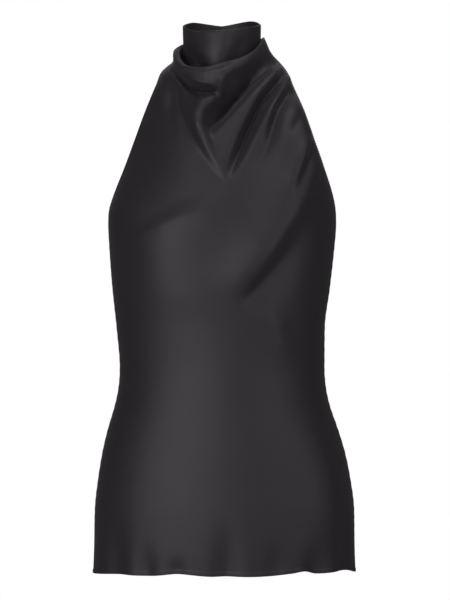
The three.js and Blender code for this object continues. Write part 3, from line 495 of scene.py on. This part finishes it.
def pucker_at(away, z):
    """How the cloth draws in and ripples beside a side seam, by its distance from the seam."""
    ripple = np.sin(z / PUCKER["wave"] + PUCKER["uneven"] * np.sin(z / PUCKER["long_wave"]))
    drawn = PUCKER["pinch"] * np.exp(-((away / PUCKER["pinch_wide"]) ** 2))
    return PUCKER["height"] * ripple * np.exp(-((away / PUCKER["wide"]) ** 2)) - drawn


def flutes_at(flutes, x, z, hem):
    """The depth of the flutes that fade upwards from the hem."""
    return -sum(depth * np.exp(-(((x - at) / half) ** 2)) * np.exp(-(((z - hem) / reach) ** 2))
                for at, half, depth, reach in flutes)


def below_armhole(z):
    """The part of the side seam that ripples, from 0 to 1."""
    return smoothstep(z, *SEAM_FOOT) * (1 - smoothstep(z, *SEAM_TOP))


def hem_lift_at(x, z):
    place = np.clip(x, HEM_LIFT_X[0], HEM_LIFT_X[-1])
    above = np.maximum(z - FRONT_SECTIONS[0][0], 0) / HEM_LIFT_REACH
    return through_knots(HEM_LIFT_X, HEM_LIFT, place) * np.exp(-above * above)


def bust_at(x, z):
    return sum(stand * np.exp(-(((x - at) / wide) ** 2) - ((z - height) / high) ** 2)
               for at, height, wide, high, stand in BUST_FORMS)


def swag_at(x, z):
    """How the swag moves a point: outward, and down above its lower edge or up below it."""
    inside = (x > SWAG_X[0]) & (x < SWAG_X[-1])
    e = (z - through_knots(SWAG_X, SWAG_EDGE, x)) / SWAG_REACH
    b = SWAG_BULGE
    front = smoothstep(e, *b["rise"]) * np.exp(-((np.maximum(e - b["full"], 0) / b["fall"]) ** 2))
    bulge = b["step"] * front - b["under"] * np.exp(-(((e - b["under_at"]) / b["under_wide"]) ** 2))
    out = through_knots(SWAG_X, SWAG_STEP, x) * bulge
    down = through_knots(SWAG_X, SWAG_HANG, x) * e * np.exp(-e * e)
    return np.where(inside, out, 0), np.where(inside, down, 0)


def swag_row_shift(s):
    """How far a column's rows move up the front, so that they follow the edge of the swag."""
    low, high = (np.full_like(s, SWAG_ROW + end) for end in SWAG_ROWS_SEARCHED)
    for _ in range(SEARCH_STEPS):
        middle = (low + high) / 2
        p = FRONT.points(s, middle)
        x = np.clip(p[..., 0], SWAG_X[0], SWAG_X[-1])
        under = p[..., 2] < through_knots(SWAG_X, SWAG_EDGE, x)
        low, high = np.where(under, middle, low), np.where(under, high, middle)
    return (low - SWAG_ROW) * (1 - smoothstep(s, *SWAG_MIDDLE))


def gathered(u, height):
    """Columns drawn closer to the middle, and over to one side, towards the neck."""
    near = smoothstep(height, GATHER["start"], GATHER["end"])
    return u + near * (GATHER["closer"] * (u ** 3 - u) + GATHER["lean"] * (1 - u * u))


def columns_between(low, high, count, fine_low, fine_high):
    """Even places from low to high, with extra ones close to the ends that are sewn edges."""
    places = list(np.linspace(low, high, count + 1))
    near = (high - low) / count * END_SHARES
    places += [low + d for d in near] * fine_low + [high - d for d in near] * fine_high
    return np.array(sorted(places))


def grid_normals(grid, outward, first_seam=None, last_seam=None):
    """Unit normals of a grid of points. At a column that is a seam, the normal keeps off the axis that
    first_seam or last_seam names, so that both sides of the seam move alike."""
    across = np.empty_like(grid)
    across[:, 1:-1] = grid[:, 2:] - grid[:, :-2]
    across[:, 0], across[:, -1] = grid[:, 1] - grid[:, 0], grid[:, -1] - grid[:, -2]
    along = np.empty_like(grid)
    along[1:-1] = grid[2:] - grid[:-2]
    along[0], along[-1] = grid[1] - grid[0], grid[-1] - grid[-2]
    normal = np.cross(across, along) * outward
    if first_seam is not None:
        normal[:, 0, first_seam] = 0
    if last_seam is not None:
        normal[:, -1, last_seam] = 0
    return normal / np.maximum(np.linalg.norm(normal, axis=-1, keepdims=True), 1e-9)


def seam_shift(facing, s, z):
    """How far a panel's side edge stands off the middle of the seam, opening below into the vent."""
    opening = np.clip((VENT["top"] - z) / (VENT["top"] - VENT["bottom"]), 0, 1)
    vent = VENT["half_gap"] * opening ** VENT["open_power"] * np.abs(s) ** VENT["edge_power"]
    return facing * (SEWN_GAP / 2 + vent)


def keyhole_half(z):
    """Half the gap between the back panels: closed at the nape, a drop-shaped hole, then the seam."""
    k = KEYHOLE
    upper = (k["top"] - z) / (k["top"] - k["widest"])
    lower = np.clip((z - k["bottom"]) / (k["widest"] - k["bottom"]), 0, 1)
    above = k["closed"] + k["half_width"] * smoothstep(upper, 0, 1)
    below = SEWN_GAP / 2 + k["half_width"] * np.sqrt(lower * (2 - lower))
    half = np.where(z > k["widest"], above, below)
    return np.where(z >= k["top"], k["closed"], np.where(z <= k["bottom"], SEWN_GAP / 2, half))


def distance_in(grid, from_start, axis):
    """Distance along the rows or columns of a grid, from its first or last line."""
    lines = grid if from_start else np.flip(grid, axis)
    step = np.linalg.norm(np.diff(lines, axis=axis), axis=-1)
    start = np.zeros_like(np.take(step, [0], axis))
    out = np.concatenate([start, np.cumsum(step, axis=axis)], axis)
    return out if from_start else np.flip(out, axis)


def edge_band(distance, width, rise):
    """The extra thickness of a turned and stitched edge, with a soft shoulder at its inner side."""
    return rise * (1 - smoothstep(distance, *(width * share for share in EDGE_SHOULDER)))


def armhole_share(v):
    """Which rows end at an armhole, from 0 to 1."""
    return smoothstep(v, *ARMHOLE_START) * (1 - smoothstep(v, *ARMHOLE_END))


def past_sections(v, rows):
    """Grows from 0 to 1 over two rows that are counted from the front's last section."""
    return smoothstep(v, FRONT.count + rows[0], FRONT.count + rows[1])


def front_grid():
    """The front's outer face as a grid of points, hem to band seam, with the station of each point."""
    fine_low, fine_high = FINE_ROLL_ROWS
    rows = FRONT.rows(lambda z, v: (z < FINE_FRONT_HEM) | ((v > fine_low) & (v < fine_high)))
    even = columns_between(-1, 1, FRONT_COLUMNS, 1, 1)
    shifts = swag_row_shift(gathered(even, 0))
    v = rows[:, None] + shifts * np.exp(-(((rows[:, None] - SWAG_ROW) / SWAG_ROWS_MOVED) ** 2))
    u = np.broadcast_to(even, v.shape)
    s = gathered(u, FRONT.points(u, v)[..., 2])
    smooth = FRONT.points(s, v)
    normals = grid_normals(smooth, 1, 1, 1)
    x, z = smooth[..., 0], smooth[..., 2]
    edge = 1 - np.abs(s) ** EDGE_CALM_POWER
    out, down = swag_at(x, z)
    inside = 1 - past_sections(v, INSIDE_FADE)
    folds_fade = 1 - past_sections(v, FOLDS_FADE)
    swag_fade = 1 - past_sections(v, SWAG_FADE)
    across = np.exp(-(((x - ROLL_FORWARD["middle"]) / ROLL_FORWARD["wide"]) ** 2))
    forward = ROLL_FORWARD["most"] * across * past_sections(v, ROLL_GROWS) * inside
    lift = edge * (folds_fade * folds_at(FRONT_FOLDS, x, z) + bust_at(x, z))
    lift += flutes_at(FRONT_FLUTES, x, z, FRONT_SECTIONS[0][0])
    seam = np.minimum(distance_in(smooth, True, 1), distance_in(smooth, False, 1))
    lift += pucker_at(seam, z) * below_armhole(z)
    grid = smooth + normals * lift[..., None]
    grid[..., 2] += hem_lift_at(x, z) - swag_fade * edge * down
    grid[..., 1] += seam_shift(-1, s, z) + chest_turn_at(x, z) - edge * (forward + inside * out)
    return grid, v


def back_grid(side):
    """One back panel's outer face, from the middle of the back out to its side seam."""
    rows = BACK.rows(lambda z, v: z < FINE_BACK_HEM)
    nape = BACK.points(np.zeros_like(rows), rows)
    near = np.abs(BACK.points(np.full_like(rows, side * NEAR_NAPE), rows)[:, 0] - nape[:, 0]) / NEAR_NAPE
    start = (keyhole_half(nape[:, 2]) + np.abs(nape[:, 0])) / near
    share = columns_between(0, 1, BACK_COLUMNS, 1, 1)
    s = side * (start[:, None] + (1 - start[:, None]) * share)
    v = np.broadcast_to(rows[:, None], s.shape)
    smooth = BACK.points(s, v)
    normals = grid_normals(smooth, -side, 0, 1)
    x, z = smooth[..., 0], smooth[..., 2]
    calm = 1 - np.exp(-((x / NAPE_CALM) ** 2))
    calm[:, 0] = 0
    edge = (1 - np.abs(s) ** EDGE_CALM_POWER) * calm
    lift = edge * folds_at(BACK_FOLDS, x, z) + flutes_at(BACK_FLUTES, x, z, BACK_SECTIONS[0][0])
    lift += pucker_at(distance_in(smooth, False, 1), z) * below_armhole(z)
    grid = smooth + normals * lift[..., None]
    grid[..., 1] += seam_shift(1, s, z)
    return grid, v


def band_grid():
    """The band's outer face, once round the neck from the nape."""
    angle = np.linspace(-180 + BAND_GAP_ANGLE, 180 - BAND_GAP_ANGLE, BAND_COLUMNS)
    share = np.linspace(0, 1, BAND_ROWS)[:, None]
    n = neck_at(angle)
    foot = n["rim"] - n["half"] - n["drop"] - BAND_BELOW_SEAM
    height = foot + (n["band_rim"] - foot) * share
    radius = BAND_RADIUS + n["flare"] * smoothstep(height, n["rim"], n["band_rim"])
    p = around(angle, radius, height)
    folds = np.where(np.abs(angle) < 90, folds_at(BAND_FOLDS, p[..., 0], p[..., 2]), 0)
    grown = smoothstep(height - foot, BAND_FOLDS_START, BAND_FOLDS_FULL)
    side = smoothstep(90 - np.abs(angle), 0, BAND_FOLDS_SIDE)
    grid = around(angle, radius + folds * grown * side, height)
    grid[..., 1] -= BAND_LEAN * np.maximum(height, 0)
    return grid


def unit(vectors):
    return vectors / np.linalg.norm(vectors, axis=-1, keepdims=True)


def path_length(points):
    """Distance along a line of points, from its first one."""
    return np.concatenate([[0], np.cumsum(np.linalg.norm(np.diff(points, axis=0), axis=1))])


def mesh_object(name, points, faces, skins, flat):
    """A smooth mesh from points in millimetres, with each point's place on the flat cloth."""
    mesh = bpy.data.meshes.new(name)
    mesh.from_pydata((points * MM).tolist(), [], faces)
    mesh.polygons.foreach_set("use_smooth", [True] * len(mesh.polygons))
    for skin in skins:
        mesh.materials.append(skin)
    layer = mesh.uv_layers.new(name="cloth")
    corner = np.zeros(len(mesh.loops), np.int32)
    mesh.loops.foreach_get("vertex_index", corner)
    layer.data.foreach_set("uv", (flat[corner] * MM).astype(np.float32).ravel())
    mesh.update()
    obj = bpy.data.objects.new(name, mesh)
    bpy.context.scene.collection.objects.link(obj)
    return obj


def rounded_out(grid, bulge):
    """How far the rim of a shell stands out from the edges of its grid."""
    out = np.zeros_like(grid)
    lines = [(np.s_[0, :], np.s_[1, :]), (np.s_[-1, :], np.s_[-2, :]),
             (np.s_[:, 0], np.s_[:, 1]), (np.s_[:, -1], np.s_[:, -2])]
    for (line, inside), amount in zip(lines, bulge):
        away = grid[line] - grid[inside]
        out[line] += amount * away / np.maximum(np.linalg.norm(away, axis=-1, keepdims=True), 1e-9)
    return out


def shell(name, grid, outward, seams, thickness, bulge, skins, extra=0):
    """A thin closed shell of cloth: the grid, raised by extra, its copy moved inward, and rounded edges
    between them. bulge is how far each of the four edges rounds out: first row, last row, first and
    last column. Also gives the outer face and its normals."""
    normals = grid_normals(grid, outward, *seams)
    outer = grid + normals * np.broadcast_to(extra, grid.shape[:2])[..., None]
    inner = grid - normals * thickness
    rows, columns = grid.shape[:2]
    count = rows * columns
    index = np.arange(count).reshape(rows, columns)
    quads = np.stack([index[:-1, :-1], index[:-1, 1:], index[1:, 1:], index[1:, :-1]], -1).reshape(-1, 4)
    if outward < 0:
        quads = quads[:, ::-1]
    ring = np.concatenate([index[0, :], index[1:, -1], index[-1, -2::-1], index[-2:0:-1, 0]])
    following = np.roll(ring, -1)
    middle = 2 * count + np.arange(len(ring))
    middle_following = np.roll(middle, -1)
    rim = np.concatenate([
        np.stack([ring, middle, middle_following, following], -1),
        np.stack([middle, ring + count, following + count, middle_following], -1),
    ])
    faces = np.concatenate([quads, quads[:, ::-1] + count, rim if outward > 0 else rim[:, ::-1]])
    edge_points = ((outer + inner) / 2 + rounded_out(grid, bulge)).reshape(-1, 3)[ring]
    points = np.concatenate([outer.reshape(-1, 3), inner.reshape(-1, 3), edge_points])
    flat = np.stack([distance_in(grid, True, 1), distance_in(grid, True, 0)], -1).reshape(-1, 2)
    obj = mesh_object(name, points, faces.tolist(), skins, np.concatenate([flat, flat, flat[ring]]))
    under = np.zeros(len(faces), np.int32)
    under[len(quads):2 * len(quads)] = len(skins) - 1
    obj.data.polygons.foreach_set("material_index", under)
    return obj, outer, normals


def socket(node, name, value):
    node.inputs[name].default_value = value


def satin(name, base, rough, weave, sheen):
    """Woven satin: long floats that bump the surface, and a slow change of roughness over the cloth."""
    skin = bpy.data.materials.new(name)
    skin.use_nodes = True
    tree = skin.node_tree
    shader = next(n for n in tree.nodes if n.type == "BSDF_PRINCIPLED")
    socket(shader, "Specular IOR Level", 0.5)
    socket(shader, "Sheen Weight", sheen)
    socket(shader, "Sheen Roughness", 0.45)
    socket(shader, "Sheen Tint", (1.0, 0.96, 1.0, 1.0))

    def node(kind, **values):
        made = tree.nodes.new(kind)
        for key, value in values.items():
            setattr(made, key, value)
        return made

    # The weave: floats on the bias of the flat cloth, with threads across them
    link = tree.links.new
    place = node("ShaderNodeUVMap", uv_map="cloth")
    turn = node("ShaderNodeMapping")
    socket(turn, "Rotation", (0, 0, BIAS))
    socket(turn, "Scale", (weave, weave * FLOAT_STRETCH, 1))
    link(place.outputs["UV"], turn.inputs["Vector"])
    floats = node("ShaderNodeTexNoise")
    socket(floats, "Scale", 1.0)
    socket(floats, "Detail", 2.0)
    link(turn.outputs["Vector"], floats.inputs["Vector"])
    threads = node("ShaderNodeTexWave", wave_type="BANDS", bands_direction="X")
    socket(threads, "Scale", 0.45)
    socket(threads, "Distortion", 1.5)
    link(turn.outputs["Vector"], threads.inputs["Vector"])
    both = node("ShaderNodeMath", operation="MULTIPLY_ADD")
    both.inputs[1].default_value = THREAD_SHARE
    link(threads.outputs["Fac"], both.inputs[0])
    link(floats.outputs["Fac"], both.inputs[2])
    bump = node("ShaderNodeBump")
    socket(bump, "Strength", 0.10)
    socket(bump, "Distance", 0.0002)
    link(both.outputs["Value"], bump.inputs["Height"])
    link(bump.outputs["Normal"], shader.inputs["Normal"])
    # Slow differences over the cloth in roughness and depth of colour
    where = node("ShaderNodeTexCoord")
    slow = node("ShaderNodeTexNoise")
    socket(slow, "Scale", 14.0)
    socket(slow, "Detail", 3.0)
    link(where.outputs["Object"], slow.inputs["Vector"])
    change = node("ShaderNodeMapRange")
    socket(change, "To Min", rough - ROUGHNESS_SPREAD)
    socket(change, "To Max", rough + ROUGHNESS_SPREAD)
    link(slow.outputs["Fac"], change.inputs["Value"])
    link(change.outputs["Result"], shader.inputs["Roughness"])
    tones = node("ShaderNodeValToRGB")
    for element, tone in zip(tones.color_ramp.elements, (1 - TONE_SPREAD, 1 + TONE_SPREAD)):
        element.color = (*[c * tone for c in base], 1)
    link(floats.outputs["Fac"], tones.inputs["Fac"])
    link(tones.outputs["Color"], shader.inputs["Base Color"])
    return skin


# The satin's glossy face, its duller back and the sewing thread: colour, roughness, weave and sheen
face = satin("satin_face", (0.0265, 0.0215, 0.0260), 0.52, 2600, 0.08)
back = satin("satin_back", (0.012, 0.011, 0.012), 0.62, 2600, 0.05)
thread = satin("sewing_thread", (0.014, 0.013, 0.014), 0.5, 6000, 0.1)


def add_cloth(obj, node):
    """Adds a piece to the body, in place of the CAD node where it has one."""
    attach(obj, "root")
    if node:
        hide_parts(node)
    return obj


def ring_faces(index, outward=True):
    """Faces between rings of points, for an array of their numbers whose last axis goes round."""
    near, far = index[..., :-1, :], index[..., 1:, :]
    near_next, far_next = np.roll(near, -1, -1), np.roll(far, -1, -1)
    corners = [near, far, far_next, near_next] if outward else [near, near_next, far_next, far]
    return np.stack(corners, -1).reshape(-1, 4).tolist()


def inset_line(outer, normals, from_start, axis, inset):
    """Points and normals of the line that runs along a panel's edge at one distance from it."""
    points, facing = (np.moveaxis(part, axis, 0) for part in (outer, normals))
    if not from_start:
        points, facing = points[::-1], facing[::-1]
    away = distance_in(points, True, 0)
    both = np.concatenate([points, facing], -1)
    line = np.array([[np.interp(inset, away[:, k], values) for values in both[:, k].T]
                     for k in range(away.shape[1])])
    return line[:, :3], line[:, 3:]


def stitches(name, lines):
    """Rows of raised stitches, each a short rounded bar whose ends go down into the cloth."""
    share, radius, height = np.array(STITCH_PROFILE).T
    turn = np.linspace(0, 2 * math.pi, STITCH["sides"], endpoint=False)
    rings, flats = [], []
    for points, facing in lines:
        along = path_length(points)
        starts = np.arange(STITCH["pitch"], along[-1] - 2 * STITCH["pitch"], STITCH["pitch"])
        at = starts[:, None] + share * STITCH["length"]
        centre, up = (np.stack([np.interp(at, along, part) for part in values.T], -1)
                      for values in (points, facing))
        side = unit(np.cross(np.gradient(centre, axis=1), up))
        centre += up * height[:, None]
        round_it = side[:, :, None] * np.cos(turn)[:, None] + up[:, :, None] * np.sin(turn)[:, None]
        rings.append(centre[:, :, None] + radius[:, None, None] * round_it)
        flats.append(np.stack(np.broadcast_arrays(at[:, :, None], turn), -1))
    ring, flat = np.concatenate(rings), np.concatenate(flats)
    index = np.arange(ring.size // 3).reshape(ring.shape[:3])
    faces = [*ring_faces(index), *index[:, 0].tolist(), *index[:, -1, ::-1].tolist()]
    return add_cloth(mesh_object(name, ring.reshape(-1, 3), faces, [thread], flat.reshape(-1, 2)), None)


def edge_line(outer, normals, rows, from_start):
    """The line of stitches along the free part of a panel's side edge."""
    return inset_line(outer[rows], normals[rows], from_start, 1, EDGE_STITCHES)


# Front panel
grid, v = front_grid()
armhole = armhole_share(v)
to_side = np.minimum(distance_in(grid, True, 1), distance_in(grid, False, 1))
extra = np.maximum(
    edge_band(distance_in(grid, True, 0), **HEM),
    armhole * edge_band(to_side, **ARMHOLE_EDGE),
)
front, outer, normals = shell("front_cloth", grid, 1, (1, 1), CLOTH, PANEL_BULGE, [face, back], extra)
add_cloth(front, "front_panel")
at_armhole = armhole[:, 0] > FULLY
front_stitches = stitches("stitches_front", [
    inset_line(outer, normals, True, 0, HEM_STITCHES),
    edge_line(outer, normals, at_armhole, True),
    edge_line(outer, normals, at_armhole, False),
])

# Back panels
for side, name in ((1, "right"), (-1, "left")):
    grid, v = back_grid(side)
    armhole = armhole_share(v)
    keyhole = smoothstep(grid[..., 2], *KEYHOLE_EDGE)
    extra = np.maximum.reduce([
        edge_band(distance_in(grid, True, 0), **HEM),
        armhole * edge_band(distance_in(grid, False, 1), **ARMHOLE_EDGE),
        keyhole * edge_band(distance_in(grid, True, 1), **ARMHOLE_EDGE),
    ])
    skins = [face, back]
    obj, outer, normals = shell(f"back_cloth_{name}", grid, -side, (0, 1), CLOTH, PANEL_BULGE, skins, extra)
    add_cloth(obj, f"back_panel_{name}")
    sewn = stitches(f"stitches_back_{name}", [
        inset_line(outer, normals, True, 0, HEM_STITCHES),
        edge_line(outer, normals, armhole[:, 0] > FULLY, False),
        edge_line(outer, normals, keyhole[:, 0] > FULLY, True),
    ])

# Neck band
band = shell("band_cloth", band_grid(), 1, (0, 0), BAND_CLOTH, BAND_BULGE, [face, face])[0]
add_cloth(band, "neck_band")


def ball(name, centre):
    """A covered button: a round head whose cloth draws in to a short shank at the back."""
    r, sides = BUTTON["radius"], BUTTON_HEAD["sides"]
    foot, shank = -r - BUTTON["shank"], BUTTON["shank_radius"]
    profile = [
        (shank * BUTTON_FOOT["taper"], foot),
        (shank, foot + BUTTON_FOOT["rounding"]),
        (shank, -r + BUTTON_FOOT["into_head"]),
    ]
    rise = np.radians(np.linspace(BUTTON_HEAD["start"], BUTTON_HEAD["end"], BUTTON_HEAD["rings"]))
    profile += [(r * math.cos(a), r * math.sin(a)) for a in rise]
    radius, along = (part[:, None] for part in np.array(profile).T)
    angle = np.linspace(0, 2 * math.pi, sides, endpoint=False)
    behind = smoothstep(-along, *BUTTON_GATHERS["behind"])
    radius = radius * (1 + BUTTON_GATHERS["depth"] * np.cos(BUTTON_GATHERS["count"] * angle) * behind)
    ring = np.stack(np.broadcast_arrays(radius * np.cos(angle), along, radius * np.sin(angle)), -1)
    points = np.concatenate([ring.reshape(-1, 3), [[0, foot, 0], [0, r, 0]]]) + centre
    index = np.arange(len(profile) * sides).reshape(-1, sides)
    low, high = index.size, index.size + 1
    after = np.roll(index, -1, 1)
    faces = ring_faces(index)
    faces += [(low, int(a), int(b)) for a, b in zip(index[0], after[0])]
    faces += [(high, int(b), int(a)) for a, b in zip(index[-1], after[-1])]
    return mesh_object(name, points, faces, [face], points[:, [0, 2]])


def tube(name, path, radius, sides):
    """A round tube along a path, closed at both ends."""
    tangent = unit(np.gradient(path, axis=0))
    a = unit(np.cross(tangent, (0, 1, 0)))
    b = np.cross(tangent, a)
    turn = np.linspace(0, 2 * math.pi, sides, endpoint=False)
    ring = path[:, None] + radius * (a[:, None] * np.cos(turn)[:, None] + b[:, None] * np.sin(turn)[:, None])
    index = np.arange(len(path) * sides).reshape(-1, sides)
    faces = [*ring_faces(index, outward=False), index[0, ::-1].tolist(), index[-1].tolist()]
    flat = np.stack(np.broadcast_arrays(turn * radius, path_length(path)[:, None]), -1)
    return mesh_object(name, ring.reshape(-1, 3), faces, [face], flat.reshape(-1, 2))


def nape_face(height):
    """Where the back of the top lies at the nape, at one height."""
    low, high = BACK.count / 2, BACK.count + len(THROAT)
    for _ in range(SEARCH_STEPS):
        middle = (low + high) / 2
        if BACK.points(0.0, middle)[2] < height:
            low = middle
        else:
            high = middle
    return float(BACK.points(0.0, low)[1])


def band_back(height):
    """Where the back of the neck band lies, at one height."""
    return NECK_Y + BAND_RADIUS + NECK["flare"][0] - BAND_LEAN * height


def smooth_path(points, count):
    """A curve through points, evenly sampled (Catmull-Rom)."""
    p = np.concatenate([[2 * points[0] - points[1]], points, [2 * points[-1] - points[-2]]])
    out = []
    for i in range(1, len(p) - 2):
        t = np.linspace(0, 1, count, endpoint=False)[:, None]
        out.append(0.5 * (2 * p[i] + (p[i + 1] - p[i - 1]) * t
                          + (2 * p[i - 1] - 5 * p[i] + 4 * p[i + 1] - p[i + 2]) * t ** 2
                          + (3 * p[i] - p[i - 1] - 3 * p[i + 1] + p[i + 2]) * t ** 3))
    return np.concatenate([*out, [points[-1]]])


# Buttons and their loops
for name, height, bend, clear in FASTENINGS:
    face_at = band_back if name == "upper" else nape_face
    stand = BUTTON["radius"] + BUTTON["shank"] + FASTENING_GAP
    centre = (BUTTON["x"], face_at(height) + stand, height)
    add_cloth(ball(f"covered_button_{name}", centre), f"button_{name}")
    points = []
    for x, z in LOOP_PATH + [(x, -z) for x, z in LOOP_PATH[-2::-1]]:
        rise = min(max((x - LOOP["rise_from"]) * LOOP["rise"], 0), LOOP["most_rise"])
        points.append((x, face_at(height + z) + LOOP["radius"] + clear + rise - x * x / bend, height + z))
    route = smooth_path(np.array(points, float), LOOP["steps"])
    add_cloth(tube(f"rouleau_{name}", route, LOOP["radius"], LOOP["sides"]), f"loop_{name}")

# Camera at the photograph's viewing angle
camera_data = bpy.data.cameras.new("camera")
camera_data.lens = CAMERA["lens"]
camera_data.sensor_width = CAMERA["sensor"]
camera_data.clip_end = CAMERA["sees_to"]
camera = bpy.data.objects.new("camera", camera_data)
camera.location = CAMERA["place"]
camera.rotation_euler = (math.radians(90), 0, 0)
bpy.context.scene.collection.objects.link(camera)
bpy.context.scene.camera = camera


def softbox(name, place, target, size, power):
    data = bpy.data.lights.new(name, "AREA")
    data.shape = "RECTANGLE"
    data.size, data.size_y = size
    data.energy = power
    lamp = bpy.data.objects.new(name, data)
    lamp.location = place
    lamp.rotation_euler = (Vector(target) - Vector(place)).to_track_quat("-Z", "Y").to_euler()
    bpy.context.scene.collection.objects.link(lamp)


for row in SOFTBOXES:
    softbox(*row)

# White behind the top for the camera, and a dim light from all round for everything else
world = bpy.data.worlds.new("studio")
bpy.context.scene.world = world
world.use_nodes = True
nodes, links = world.node_tree.nodes, world.node_tree.links
nodes.clear()
output = nodes.new("ShaderNodeOutputWorld")
mixed = nodes.new("ShaderNodeMixShader")
ray = nodes.new("ShaderNodeLightPath")
links.new(ray.outputs["Is Camera Ray"], mixed.inputs["Fac"])
for place, strength in ((1, WORLD["lit"]), (2, WORLD["seen"])):
    background = nodes.new("ShaderNodeBackground")
    socket(background, "Color", (1, 1, 1, 1))
    socket(background, "Strength", strength)
    links.new(background.outputs["Background"], mixed.inputs[place])
links.new(mixed.outputs["Shader"], output.inputs["Surface"])

# Plain pale floor, a wearer's height below the neck
turns = np.linspace(0, 2 * math.pi, FLOOR["sides"], endpoint=False)
rim = [(FLOOR["radius"] * math.cos(a), FLOOR["radius"] * math.sin(a), FLOOR["height"]) for a in turns]
floor_mesh = bpy.data.meshes.new("floor")
floor_mesh.from_pydata(rim, [], [tuple(range(FLOOR["sides"]))])
floor_skin = bpy.data.materials.new("pale_floor")
floor_skin.use_nodes = True
floor_shader = next(n for n in floor_skin.node_tree.nodes if n.type == "BSDF_PRINCIPLED")
socket(floor_shader, "Base Color", (*[FLOOR["tone"]] * 3, 1))
socket(floor_shader, "Roughness", FLOOR["roughness"])
floor_mesh.materials.append(floor_skin)
floor = bpy.data.objects.new("floor", floor_mesh)
bpy.context.scene.collection.objects.link(floor)

bpy.context.scene.view_settings.view_transform = "Standard"
